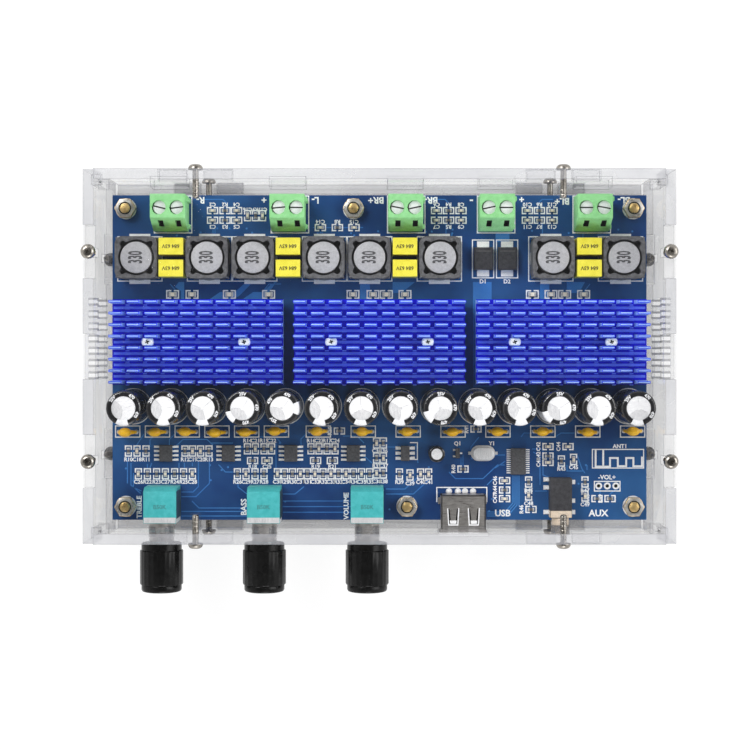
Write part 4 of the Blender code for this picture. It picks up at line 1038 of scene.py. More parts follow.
def makeInductors():
    marks = []
    for i in range(1, 9):
        name = f"inductor_{i}"
        low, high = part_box(name)
        spot = middle(name)
        half, corner = (high.x - low.x) / 2, inductor["corner"]
        cut = half - corner * 0.25
        bm = bmesh.new()
        addPrism(bm, fourTimes(((half, half - corner), (cut, cut), (half - corner, half))), low.z, high.z,
                 [notchedCircle()])
        bevelSharp(bm, inductor["round"], segments=2, angle=20)
        top, r = high.z - inductor["markDepth"], inductor["gapInner"]
        addRings(bm, turnedRings([(r * 0.8, low.z + 0.4 * mm), (r, low.z + 0.5 * mm), (r, top - 0.35 * mm),
                                  (r * 0.985, top - 0.12 * mm), (r * 0.93, top)], 48), mark=1)
        groove = high.z - inductor["gapDepth"]
        for turn in range(inductor["coilTurns"]):
            z = groove + 0.25 * mm + turn * 0.36 * mm
            addRings(bm, turnedRings([(r + 0.02 * mm, z), (r + 0.32 * mm, z + 0.09 * mm),
                                      (r + 0.32 * mm, z + 0.26 * mm), (r + 0.02 * mm, z + 0.34 * mm)], 32),
                     mark=2)
        addRings(bm, turnedRings([(inductor["notch"] * 0.99, z) for z in (low.z + 0.3 * mm, groove)], 32))
        addBuilt(name + "_shielded", bm, ["shield", "drum", "winding"], slotName="ferrite", stands=[name],
                 turn=Matrix.Translation((spot.x, spot.y, 0)))
        marks.append(written("330", inductor["mark"], spot.x, spot.y, top + 0.004 * mm, math.pi / 2,
                             squeeze=0.44))
    addJoined("inductor_marks", marks, "ink")


makeInductors()
print("stage: inductors done")


# electrolytic cans

can = {"sides": 40, "crimpHeight": 2.5 * mm, "neck": 0.4 * mm, "shoulder": 0.6 * mm, "topRadius": 3.45 * mm,
       "scoreDepth": 0.14 * mm, "stripeAngle": 0.42, "letter": 1.5 * mm, "topLetter": 1.25 * mm}
stripeWays = {4: 215, 5: 0, 9: 215, 12: 215}


def makeCans():
    rnd = random.Random(7)
    letters, signs = [], []
    third = 2 * math.pi / 3
    for i in range(1, 15):
        name = f"capacitor_{i}"
        low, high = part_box(name)
        spot = middle(name)
        radius, base, top, count = (high.x - low.x) / 2, low.z, high.z, can["sides"]
        neck, disc, crimp = radius - can["neck"], can["topRadius"], base + can["crimpHeight"]
        way = math.radians(stripeWays.get(i, 268 + rnd.uniform(-8, 8)))
        profile = [(radius * 0.9, base), (radius * 0.97, base + 0.15 * mm), (radius, base + 0.5 * mm),
                   (radius, crimp - 0.5 * mm), (neck, crimp - 0.15 * mm), (neck, crimp + 0.15 * mm),
                   (radius, crimp + 0.5 * mm), (radius, top - can["shoulder"] - 0.25 * mm),
                   (radius - 0.1 * mm, top - 0.35 * mm), (radius - 0.35 * mm, top - 0.1 * mm),
                   (radius - can["shoulder"], top), (disc + 0.12 * mm, top), (disc, top - 0.06 * mm),
                   (disc - 0.04 * mm, top - 0.22 * mm)]
        bm = bmesh.new()
        loops = addRings(bm, turnedRings(profile, count, start=way + math.pi / count), capped=False)
        bm.faces.new(loops[0])
        bm.normal_update()
        for face in bm.faces:
            at = face.calc_center_median()
            away = abs((math.atan2(at.y, at.x) - way + math.pi) % (2 * math.pi) - math.pi)
            if away < can["stripeAngle"] and len(face.verts) == 4 and at.z > crimp + 0.3 * mm:
                face.material_index = 1
        # top disc stamped with three score lines, one sector a little proud of the next; one sector and the
        # score grooves are painted darker as shade
        start = rnd.uniform(0, 2)
        plate = top - 0.2 * mm
        rim, inner = [], []
        for j in range(3):
            for k in (0, 0.018, *(n / 13 for n in range(1, 13)), 0.982):
                angle = start + third * (j + k)
                x, y = disc * math.cos(angle), disc * math.sin(angle)
                z = plate - (can["scoreDepth"] if k == 0 else 0.0)
                lift = 0.02 * mm * math.sin(2 * math.pi * k + j)
                rim.append((x, y, z))
                inner.append((0.14 * x, 0.14 * y, z + lift + 0.03 * mm))
        mids = [(0.57 * x, 0.57 * y, (z + w) / 2 + 0.07 * mm) for (x, y, z), (u, v, w) in zip(rim, inner)]
        before = set(bm.faces)
        addRings(bm, [rim, mids, inner], mark=2)
        for face in set(bm.faces) - before:
            at = face.calc_center_median()
            share = ((math.atan2(at.y, at.x) - start) % (2 * math.pi)) / third
            if len(face.verts) == 4 and min(share % 1, 1 - share % 1) < 0.03:
                face.material_index = 4
            elif int(share) == 1:
                face.material_index = 3
        addBuilt(name + "_can", bm, ["sleeve", "stripe", "canTop", "canShade", "score"], sharp=28,
                 turn=Matrix.Translation((spot.x, spot.y, 0)), slotName="sleeve_black", stands=[name])
        for text, side, size, rise in (("470", 1.9, 1, 0.4), ("25V", 1.9, 0.8, 0.62), ("470", -1.6, 1, 0.5),
                                       ("-", 0.0, 1.6, 0.75), ("-", 0.0, 1.6, 0.45)):
            mesh = written(text, can["letter"] * size, 0, 0, 0)
            for v in mesh.vertices:
                angle = way + side + v.co.x / radius
                r = radius + 0.004 * mm + v.co.z * 0.6
                v.co = (spot.x + r * math.cos(angle), spot.y + r * math.sin(angle),
                        base + (top - base) * rise + v.co.y)
            (signs if text == "-" else letters).append(mesh)
        for text, side in (("470", 2.6), ("25V", -2.2), ("470", 1.2)):
            mesh = written(text, can["topLetter"], 0, 0, 0, bold=0.04)
            for v in mesh.vertices:
                angle = way + side - v.co.x / (radius * 0.84)
                r = radius * 0.82 + v.co.y
                v.co = (spot.x + r * math.cos(angle), spot.y + r * math.sin(angle), top + 0.01 * mm + v.co.z)
            letters.append(mesh)
    addJoined("can_letters", letters, "stripe", slotName="sleeve_black")
    addJoined("can_signs", signs, "ink", slotName="sleeve_black")


makeCans()
print("stage: cans done")


# film capacitors, amber ceramics and diodes on the board

groupsX = [(middle(f"inductor_{i}").x + middle(f"inductor_{i + 1}").x) / 2 for i in (1, 3, 5, 7)]
rowY = middle("inductor_1").y
film = {"length": 7.2 * mm, "depth": 5 * mm, "height": 9.5 * mm, "pitch": 6.4 * mm, "round": 0.3 * mm,
        "letter": 1.5 * mm}
drop = {"length": 4.8 * mm, "depth": 2.8 * mm, "height": 5.6 * mm, "leg": 0.25 * mm, "foot": 2.6 * mm,
        "aside": 0.35 * mm}
dropX = [-74.5 * mm + 8.8 * mm * i for i in range(6)] + [(-18.1 + 13.286 * i) * mm for i in range(8)]
dropY = caseY - 22.2 * mm
diode = {"width": 5.7 * mm, "length": 6.8 * mm, "height": 2.3 * mm, "pitch": 7.1 * mm, "tab": 3 * mm,
         "tabThick": 0.12 * mm}
diodeX = 34.2 * mm


def addTapered(bm, x, y, width, depth, steps, mark=0):
    # block through levels of (inset, height)
    addRings(bm, [[(px, py, z) for px, py in rectangle(x, y, width - 2 * k, depth - 2 * k)]
                  for k, z in steps], mark=mark)


def addBlock(bm, x, y, width, depth, low, high, lean=0.0, mark=0):
    addTapered(bm, x, y, width, depth, ((0, low), (lean, high)), mark)


def makeFilms():
    bm, letters = bmesh.new(), []
    for x in groupsX:
        for side in (-1, 1):
            y, top = rowY + side * film["pitch"] / 2, boardTop + film["height"]
            addBlock(bm, x, y, film["length"], film["depth"], boardTop + 0.25 * mm, top, lean=0.06 * mm)
            letters.append(written("684 63V", film["letter"], x, y, top, math.pi))
    bevelSharp(bm, film["round"], segments=3)
    addBuilt("film_capacitors", bm, ["yellow"])
    addJoined("film_marks", letters, "filmInk")


def makeDrops():
    # dipped body: a lens standing on edge, its coating running down on to both legs
    bm = bmesh.new()
    a, b, h = drop["length"] * 0.4, drop["depth"] / 2, drop["height"]
    levels = ((0.12, 0.1), (0.4, 0.45), (0.7, 0.78), (0.92, 0.98), (1.0, 1.0), (0.96, 0.9), (0.82, 0.7),
              (0.55, 0.42), (0.2, 0.14))
    heights = (0.16, 0.2, 0.28, 0.42, 0.58, 0.74, 0.88, 0.97, 1.0)
    rings = [[(x * a * wide - drop["aside"], y * b * deep, h * up) for x, y in circle(1, 20)]
             for (wide, deep), up in zip(levels, heights)]
    addRings(bm, rings)
    for side in (-1, 1):
        rings = []
        for k in range(7):
            t = k / 6
            centre = side * (drop["foot"] + (a * 0.45 - drop["foot"]) * t ** 1.5) - drop["aside"] * t
            thick = drop["leg"] * (1.4 + 1.6 * t)
            rings.append([(centre + x * thick, y * thick, h * (0.02 + 0.5 * t)) for x, y in circle(1, 10)])
        addRings(bm, rings)
    body = toMesh(bm, "drop", sharp=60)
    legs = bmesh.new()
    for side in (-1, 1):
        profile = ((0.7 * mm, 0.0), (0.6 * mm, 0.1 * mm), (0.32 * mm, 0.35 * mm), (0.25 * mm, 0.7 * mm))
        addRings(legs, turnedRings(profile, 10, (side * drop["foot"], 0)))
    rnd = random.Random(3)
    places = [(x, dropY + rnd.uniform(-0.25, 0.25) * mm, boardTop, rnd.uniform(-0.05, 0.05)) for x in dropX]
    addSpread("amber_capacitors", body, places, "amber")
    addSpread("amber_legs", toMesh(legs, "legs"), places, "solder", slotName="tin")


def makeDiodes():
    bm = bmesh.new()
    low, top = boardTop + 0.2 * mm, boardTop + diode["height"]
    places = [diodeX + side * diode["pitch"] / 2 for side in (-1, 1)]
    for x in places:
        addTapered(bm, x, rowY, diode["width"], diode["length"],
                   ((0.25 * mm, low), (0, (low + top) / 2), (0.25 * mm, top)))
    bevelSharp(bm, 0.12 * mm, segments=2)
    wide, reach, thick = diode["tab"] / 2, diode["length"] / 2, diode["tabThick"]
    path = [(reach - 0.4 * mm, 1.1), (reach + 0.12 * mm, 1.1), (reach + 0.3 * mm, 0.8),
            (reach + 0.3 * mm, 0.2), (reach + 0.12 * mm, 0.06), (reach - 1.0 * mm, 0.06)]
    for x in places:
        addBlock(bm, x, rowY + reach - 1.2 * mm, diode["width"] - 1.2 * mm, 0.4 * mm, top - 0.01 * mm,
                 top + 0.015 * mm, mark=2)
        for end in (-1, 1):
            rings = []
            for d, up in path:
                y, z = rowY + end * d, boardTop + up * mm
                rings.append([(x - wide, y, z), (x + wide, y, z), (x + wide, y - end * thick, z + thick),
                              (x - wide, y - end * thick, z + thick)])
            addRings(bm, rings, mark=1)
    addBuilt("power_diodes", bm, ["jackBlack", "pad", "ink"])


makeFilms()
makeDrops()
makeDiodes()
print("stage: capacitors and diodes done")


# white print, pads and labels

mark = {"label": 1.6 * mm, "word": 2.7 * mm, "antenna": 0.55 * mm}
antenna = [[(1103, 122), (1103, 208), (1175, 208), (1175, 165), (1214, 165), (1214, 206), (1256, 206),
            (1256, 165), (1292, 165), (1292, 206), (1335, 206), (1335, 158)], [(1141, 122), (1141, 206)]]
words = [("R-", 200.6, 200, math.pi, 1.0), ("+", 264, 200.6, 0, 1.0), ("L-", 315.4, 200, math.pi, 1.0),
         ("BR+", 376, 200, math.pi, 1.0), ("BR-", 431, 200, math.pi, 1.0), ("-", 471.4, 199.4, 0, 1.2),
         ("+", 521.6, 200, 0, 1.0), ("BL+", 562, 201, math.pi, 1.0), ("BL-", 624, 200, math.pi, 1.0),
         ("D1", 483, 281.6, 0, 0.62), ("D2", 507, 281.6, 0, 0.62), ("ANT1", 620, 446.4, 0, 0.62),
         ("-VOL+", 607, 477.4, 0, 0.68), ("USB", 502.6, 513.4, 0, 1.0), ("AUX", 598.4, 513.4, 0, 1.0),
         ("TREBLE", 139.4, 507, math.pi / 2, 0.75), ("BASS", 244, 507, math.pi / 2, 0.85),
         ("VOLUME", 346.4, 506, math.pi / 2, 0.75), ("Q1", 457.6, 443.6, 0, 0.6), ("Y1", 492, 443.6, 0, 0.6)]


def labelPlace(px, py, turn):
    # where the print puts a part's own mark, and which way up it reads
    if py < 216:
        return px, py - 6.2, math.pi
    if py < 222:
        return px, py + 6.4, math.pi
    if py < 240:
        return px, py - 6.0, math.pi
    if abs(py - 451) < 1.2 and px < 300:
        return px, py + 8.6, 0
    if abs(py - 448.8) < 0.8:
        return px, py - 8.0, 0
    if abs(py - 473.8) < 0.8:
        return px, py + 8.2, 0
    if abs(py - 460.6) < 0.6 and turn == flat:
        return px, py + 6.2, 0
    if turn == flat:
        return px - 9.4, py, math.pi / 2
    return px, py + (8.0 if py < 470 else 8.6), 0


def makePrint():
    rise, thin = board["printRise"], board["printWidth"]
    low, high = boardTop, boardTop + rise
    bm, pads = bmesh.new(), bmesh.new()

    def loopOf(points):
        addStrip(bm, points, thin, low, high, closed=True)

    def padOf(x, y, width, depth, thick):
        addPrism(pads, rectangle(x, y, width, depth), low, low + thick)

    for i in range(1, 9):
        spot = middle(f"inductor_{i}")
        loopOf(rectangle(spot.x, spot.y, 13.1 * mm, 13.1 * mm))
        for side in (-1, 1):
            padOf(spot.x, spot.y + side * 6.75 * mm, 6.2 * mm, 1.3 * mm, 0.12 * mm)
    for i in range(1, 15):
        spot = middle(f"capacitor_{i}")
        loopOf(circle(5.25 * mm, 40, (spot.x, spot.y)))
    for side in ("right", "left", "bass_right", "power", "bass_left"):
        spot = middle("terminal_" + side)
        loopOf(rectangle(spot.x, spot.y, 11.1 * mm, 10.9 * mm))
    for x in dropX:
        loopOf(rectangle(x, dropY, 7.2 * mm, 3.3 * mm))
    for side in (-1, 1):
        x = diodeX + side * diode["pitch"] / 2
        loopOf(rectangle(x, rowY, 6.3 * mm, 11.2 * mm))
        for end in (-1, 1):
            padOf(x, rowY + end * 4.2 * mm, 3.6 * mm, 2.0 * mm, 0.08 * mm)
    for path in antenna:
        addStrip(bm, fromCrop(path, 375, 425), mark["antenna"], low, high)
    for x0, y0, x1, y1 in ((592.4, 449.4, 643.6, 468), (594.4, 481.4, 620, 491)):
        loopOf([onBoard(*p) for p in ((x0, y0), (x1, y0), (x1, y1), (x0, y1))])
    for path in (((436.8, 502), (436.8, 487.4), (486.8, 487.4), (486.8, 502)),
                 ((410, 442.6), (417.4, 442.6), (417.4, 459.4), (410, 459.4))):
        addStrip(bm, [onBoard(*p) for p in path], thin, low, high)
    for spots, outer, inner, sides, thick in ((headerHoles, 1.05, 0.52, 20, 0.06),
                                              (boardHoles, 3.1, 1.72, 28, 0.04)):
        for spot in spots:
            addPrism(pads, circle(outer * mm, sides, spot), low, low + thick * mm,
                     [circle(inner * mm, sides, spot)])
    addBuilt("board_lines", bm, ["print"], slotName="blue_board")
    # dark plugs inside the header holes: painted shade
    holeShade = bmesh.new()
    for spot in headerHoles:
        addPrism(holeShade, circle(board["pinHole"], 12, spot), boardBox[0].z + 0.1 * mm, boardTop - 0.4 * mm)
    addBuilt("header_holes", holeShade, ["hole"], slotName="blue_board")
    addBuilt("board_pads", pads, ["pad"], slotName="tin")
    letters = [written(text, mark["word"] * size, *onBoard(px, py), low, turn, thick=rise * 0.8)
               for text, px, py, turn, size in words]
    for kind, letter in (("resistor", "R"), ("capacitor", "C")):
        for i, found in enumerate(smallParts[kind]):
            px, py, way = labelPlace(*found)
            letters.append(written(f"{letter}{i + 2}", mark["label"], *onBoard(px, py), low, way,
                                   thick=rise * 0.8))
    addJoined("board_words", letters, "print", slotName="blue_board")


makePrint()
print("stage: print done")


# chips

chipRow = caseY - 28.6 * mm
chips = {
    "opamp": {"width": 3.9, "depth": 4.9, "height": 1.6, "leads": 4, "pitch": 1.27, "wide": 0.5,
              "reach": 1.4},
    "codec": {"width": 4.4, "depth": 7.8, "height": 1.2, "leads": 12, "pitch": 0.62, "wide": 0.26,
              "reach": 1.0},
    "regulator": {"width": 2.6, "depth": 4.5, "height": 1.5, "leads": 3, "pitch": 1.5, "wide": 0.7,
                  "reach": 1.3},
    "transistor": {"width": 1.3, "depth": 2.9, "height": 1.1, "leads": 2, "pitch": 1.9, "wide": 0.42,
                   "reach": 0.6}}
chipPlaces = ([("opamp", (-63.1 + 18.45 * i) * mm, chipRow) for i in range(4)]
              + [("codec", 41.0 * mm, chipRow - 2.4 * mm), ("regulator", 7.6 * mm, chipRow),
                 ("transistor", 23.1 * mm, chipRow)])

odd = {"crystalX": 30.6 * mm, "crystalLength": 7.2 * mm, "crystalWidth": 4.6 * mm, "canX": 16.8 * mm,
       "canRadius": 2.4 * mm, "canHeight": 5.5 * mm}


def leadMesh(wide, reach, height, thick=0.2 * mm):
    # gull wing: out of the body, down, and flat on its pad
    bm = bmesh.new()
    shoulder = height * 0.5
    path = [(-0.1 * mm, shoulder), (reach * 0.3, shoulder), (reach * 0.42, shoulder - 0.1 * mm),
            (reach * 0.55, thick * 0.9), (reach * 0.66, thick * 0.5), (reach, thick * 0.5)]
    rings = [[(x, -wide / 2, z - thick / 2), (x, wide / 2, z - thick / 2), (x, wide / 2, z + thick / 2),
              (x, -wide / 2, z + thick / 2)] for x, z in path]
    addRings(bm, rings)
    return toMesh(bm, "lead", sharp=25)


def makeChips():
    bm = bmesh.new()
    leads, pads = [], []
    labels = ("width", "depth", "height", "pitch", "wide", "reach")
    found = [(kind, x, y, *(chips[kind][k] * mm for k in labels)) for kind, x, y in chipPlaces]
    for kind, x, y, width, depth, tall, *rest in found:
        waist = boardTop + 0.55 * tall
        addTapered(bm, x, y, width, depth, ((0.12 * mm, boardTop + 0.12 * mm), (0, waist),
                                            (0, waist + 0.06 * mm), (0.14 * mm, boardTop + tall)))
    bevelSharp(bm, 0.06 * mm, segments=2, angle=40)
    for kind, x, y, width, depth, tall, pitch, wide, reach in found:
        top = boardTop + tall
        if kind != "transistor":
            dot = (x - width / 2 + 0.75 * mm, y + depth / 2 - 0.75 * mm)
            addPrism(bm, circle(0.3 * mm, 14, dot), top - 0.01 * mm, top + 0.012 * mm, mark=1)
        places = []
        for side in (-1, 1):
            count = 1 if kind == "transistor" and side == 1 else chips[kind]["leads"]
            places += [(x + side * width / 2, y + (j - (count - 1) / 2) * pitch, boardTop,
                        0.0 if side > 0 else math.pi) for j in range(count)]
        leads.append(spread(leadMesh(wide, reach, tall), places, "pad"))
        bricks = grown(brickTree, places, "pad", Size=(reach * 0.95, wide * 1.35, 0.05 * mm),
                       Rise=0.025 * mm)
        pads.append(shifted(bricks, places, reach * 0.72))
    addBuilt("chip_bodies", bm, ["chip", "ink"], slotName="chip_black")
    addJoined("chip_leads", leads, "pad", slotName="tin")
    addJoined("chip_pads", pads, "pad", slotName="tin")


def shifted(mesh, places, reach):
    # moves each brick outward along its own turn
    for i, place in enumerate(places):
        for k in range(8):
            mesh.vertices[i * 8 + k].co.x += reach * math.cos(place[3])
            mesh.vertices[i * 8 + k].co.y += reach * math.sin(place[3])
    return mesh


def capsule(x, y, length, width, sides=12):
    half = (length - width) / 2
    points = []
    for side in (1, -1):
        for i in range(sides + 1):
            angle = -math.pi / 2 + math.pi * i / sides + (0 if side > 0 else math.pi)
            points.append((x + side * half + width / 2 * math.cos(angle), y + width / 2 * math.sin(angle)))
    return points


def makeOddParts():
    # crystal in its obround lid, and the one small can
    bm = bmesh.new()
    x, y = odd["crystalX"], chipRow
    rings = []
    for inset, z in ((0, 0.1), (0, 0.5), (0.5, 0.55), (0.5, 3.1), (0.6, 3.3), (0.95, 3.4)):
        outline = capsule(x, y, odd["crystalLength"] - 2 * inset * mm, odd["crystalWidth"] - 2 * inset * mm)
        rings.append([(px, py, boardTop + z * mm) for px, py in outline])
    addRings(bm, rings)
    for side in (-1, 1):
        addBlock(bm, x + side * 3.9 * mm, y, 0.9 * mm, 0.9 * mm, boardTop, boardTop + 0.25 * mm)
    addBuilt("crystal_lid", bm, ["frame"], sharp=30, slotName="tin")
    bm = bmesh.new()
    r, h = odd["canRadius"], odd["canHeight"]
    profile = [(r * 0.95, 0.1 * mm), (r, 0.4 * mm), (r, 1.0 * mm), (r * 0.9, 1.2 * mm), (r, 1.45 * mm),
               (r, h - 0.5 * mm), (r * 0.94, h - 0.12 * mm), (r * 0.84, h), (r * 0.7, h),
               (r * 0.68, h - 0.1 * mm)]
    loops = addRings(bm, turnedRings([(wide, boardTop + z) for wide, z in profile], 28,
                                     (odd["canX"], chipRow)), capped=False)
    bm.faces.new(loops[0])
    bm.faces.new(loops[-1]).material_index = 1
    addBuilt("small_can", bm, ["sleeve", "canTop"], slotName="sleeve_black")


makeChips()
makeOddParts()
print("stage: chips done")


# screw terminals

terminal = {"round": 0.14 * mm, "pitch": 5.08 * mm, "back": 3.9 * mm, "screw": 1.95 * mm,
            "sunk": 0.9 * mm, "slot": 0.42 * mm, "pocket": 1.5 * mm, "pocketFront": 1.1 * mm}


def slottedDisc(name="slotted"):
    # clamp screw: a disc with one straight slot, facing up, its top at zero
    bm = bmesh.new()
    r, cut, deep = terminal["screw"], terminal["slot"] / 2, 0.5 * mm
    start = math.asin(cut / r)
    for side in (0, math.pi):
        angles = [side + start + (math.pi - 2 * start) * i / 16 for i in range(17)]
        addPrism(bm, [(r * math.cos(angle), r * math.sin(angle)) for angle in angles], -deep, 0.0)
    bevelSharp(bm, 0.06 * mm, segments=1, angle=50)
    return toMesh(bm, name)


def makeTerminals():
    rnd = random.Random(21)
    screws, clamps = [], []
    pocket = terminal["pocket"]
    for side in ("right", "left", "bass_right", "power", "bass_left"):
        name = "terminal_" + side
        low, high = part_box(name)
        poles = [(low.x + high.x) / 2 + s * terminal["pitch"] / 2 for s in (-1, 1)]
        bm = solidCopy(name)
        flatten(bm)
        bevelSharp(bm, terminal["round"], segments=2, angle=35)
        bmesh.ops.triangulate(bm, faces=bm.faces)
        pocketY = low.y + terminal["pocketFront"] + pocket / 2
        cutter = bmesh.new()
        for x in poles:
            addPrism(cutter, rectangle(x, pocketY, pocket, pocket), low.z + 1.2 * mm, high.z)
        bm = edited(carved(toMesh(bm, name), toMesh(cutter, "pocket")))
        # the pockets' walls take the near-black hole finish: painted shade
        for face in bm.faces:
            at = face.calc_center_median()
            away = min(abs(at.x - x) for x in poles)
            if max(away, abs(at.y - pocketY)) < pocket / 2 + 0.01 * mm:
                face.material_index = 1
        addBuilt(name + "_housing", bm, ["green", "hole"], slotName="terminal_green", stands=[name])
        for x in poles:
            screws.append((x, high.y - terminal["back"], high.z - terminal["sunk"],
                           rnd.uniform(-0.35, 0.35)))
            clamps.append((x, high.y - 2.6 * mm, low.z + 3.9 * mm, 0.0))
    addSpread("terminal_screws", slottedDisc(), screws, "zinc", slotName="tin")
    # a dark disc under each slotted screw: painted shade seen through the slot
    bm = bmesh.new()
    addPrism(bm, circle(terminal["screw"] * 0.98, 28), -2.4 * mm, -0.5 * mm)
    addSpread("terminal_slots", toMesh(bm, "slot"), screws, "hole", slotName="tin")
    bm = bmesh.new()
    addPrism(bm, rectangle(0, 0, 3.0 * mm, 3.4 * mm), -0.2 * mm, 0.0)
    addSpread("terminal_clamps", toMesh(bm, "clamp"), clamps, "zinc", slotName="tin")


makeTerminals()
print("stage: terminals done")


# potentiometers and knobs

pot = {"round": 0.12 * mm, "frame": 1.7 * mm, "letter": 1.7 * mm, "thread": 0.1 * mm, "pitch": 0.7 * mm,
       "strip": 0.35 * mm, "bushing": 3.56 * mm}
knob = {"sides": 96, "flutes": 24, "fluteDepth": 0.12 * mm, "collar": 2.2 * mm, "nose": 2.2 * mm,
        "slim": 0.45 * mm, "bore": 3.25 * mm}


def cutAcross(bm, y):
    bmesh.ops.bisect_plane(bm, geom=bm.verts[:] + bm.edges[:] + bm.faces[:], plane_co=(0, y, 0),
                           plane_no=(0, 1, 0))


def makePots():
    marks, strips = [], bmesh.new()
    for side in ("treble", "bass", "volume"):
        name = "potentiometer_" + side
        low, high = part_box(name)
        x = (low.x + high.x) / 2
        bm = solidCopy(name)
        frameCut = potFront + pot["frame"]
        cutAcross(bm, frameCut)
        for face in bm.faces:
            y = face.calc_center_median().y
            face.material_index = 2 if y < potFront - 0.05 * mm else 1 if y < frameCut else 0
        bevelSharp(bm, pot["round"], segments=2, angle=50)
        addBuilt(name + "_body", bm, ["teal", "frame", "tin"], slotName="pot_teal", stands=[name])
        top = bodyTop(name, x, frameCut + 3.0 * mm)
        marks.append(written("B50K", pot["letter"], x, frameCut + 3.0 * mm, top))
        # a thin strip along the body's right side, its dark colour painted shade
        addBlock(strips, high.x - 0.02 * mm, frameCut + 3.6 * mm, pot["strip"], 8.0 * mm, low.z + 0.3 * mm,
                 top - 0.9 * mm)
        wire = grown(threadTree, [(0, 0, 0)], "tin", Radius=pot["bushing"], Length=3.0 * mm,
                     Pitch=pot["pitch"], Wire=pot["thread"])
        lying = Matrix.Rotation(math.pi / 2, 4, "X")
        wire.transform(Matrix.Translation((x, potFront - 0.3 * mm, axisHeight)) @ lying)
        addPiece(name + "_thread", wire, ["tin"], slotName="tin")
    addJoined("potentiometer_marks", marks, "potInk")
    addBuilt("potentiometer_strips", strips, ["potSide"], slotName="tin")


axisHeight = frame["joints"][0]["pos_m"][2]
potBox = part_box("potentiometer_bass")
potFront = min(v.co.y for v in frame["nodes"]["potentiometer_bass"].data.vertices
               if v.co.x > potBox[1].x - 0.3 * mm)


def bodyTop(name, x, y):
    # height of a CAD node's top face under a point
    bm = solidCopy(name)
    tree = BVHTree.FromBMesh(bm)
    hit = tree.ray_cast(Vector((x, y, 1)), Vector((0, 0, -1)))
    bm.free()
    return hit[0].z


def makeKnobs():
    for side in ("treble", "bass", "volume"):
        name = "knob_" + side
        low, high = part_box(name)
        x, z = (low.x + high.x) / 2, (low.z + high.z) / 2
        length, radius, bore = high.y - low.y, (high.x - low.x) / 2, knob["bore"]
        thin, back, front = radius - knob["slim"], knob["collar"], length - knob["nose"]
        profile = [(0.4 * mm, 10.6 * mm), (bore, 10.6 * mm), (bore, 0.25 * mm), (bore + 0.25 * mm, 0.0),
                   (thin - 0.25 * mm, 0.0), (thin, 0.25 * mm), (thin, back - 0.25 * mm),
                   (thin + 0.1 * mm, back - 0.1 * mm), (radius - 0.08 * mm, back),
                   (radius, back + 0.15 * mm), (radius, front - 0.3 * mm), (radius - 0.2 * mm, front),
                   (thin - 0.1 * mm, front + 0.1 * mm), (thin, front + 0.3 * mm),
                   (thin, length - 0.7 * mm), (thin - 0.25 * mm, length - 0.25 * mm),
                   (thin - 0.8 * mm, length - 0.05 * mm), (thin - 1.3 * mm, length), (0.4 * mm, length)]
        rings = []
        for k, (r, d) in enumerate(profile):
            ring = []
            for i in range(knob["sides"]):
                angle = 2 * math.pi * i / knob["sides"]
                flute = knob["fluteDepth"] * (0.5 - 0.5 * math.cos(knob["flutes"] * angle))
                ribbed = r - (flute if k in (9, 10) else 0)
                ring.append((x + ribbed * math.cos(angle), high.y - d, z + ribbed * math.sin(angle)))
            rings.append(ring)
        bm = bmesh.new()
        addRings(bm, rings)
        addBuilt(name + "_turned", bm, ["knob"], sharp=30, body=side + "_control", slotName="knob_black",
                 stands=[name])


makePots()
makeKnobs()
print("stage: potentiometers and knobs done")


# sockets

usb = {"wall": 0.35 * mm, "flare": 0.7 * mm, "slotWidth": 2.9 * mm, "slotLength": 4.6 * mm,
       "tongue": 1.7 * mm, "slotSpacing": 6.0 * mm, "width": 13.0 * mm, "height": 7.0 * mm,
       "lift": 0.25 * mm}
aux = {"round": 0.12 * mm, "beige": 2.1 * mm, "half": 3.2 * mm}


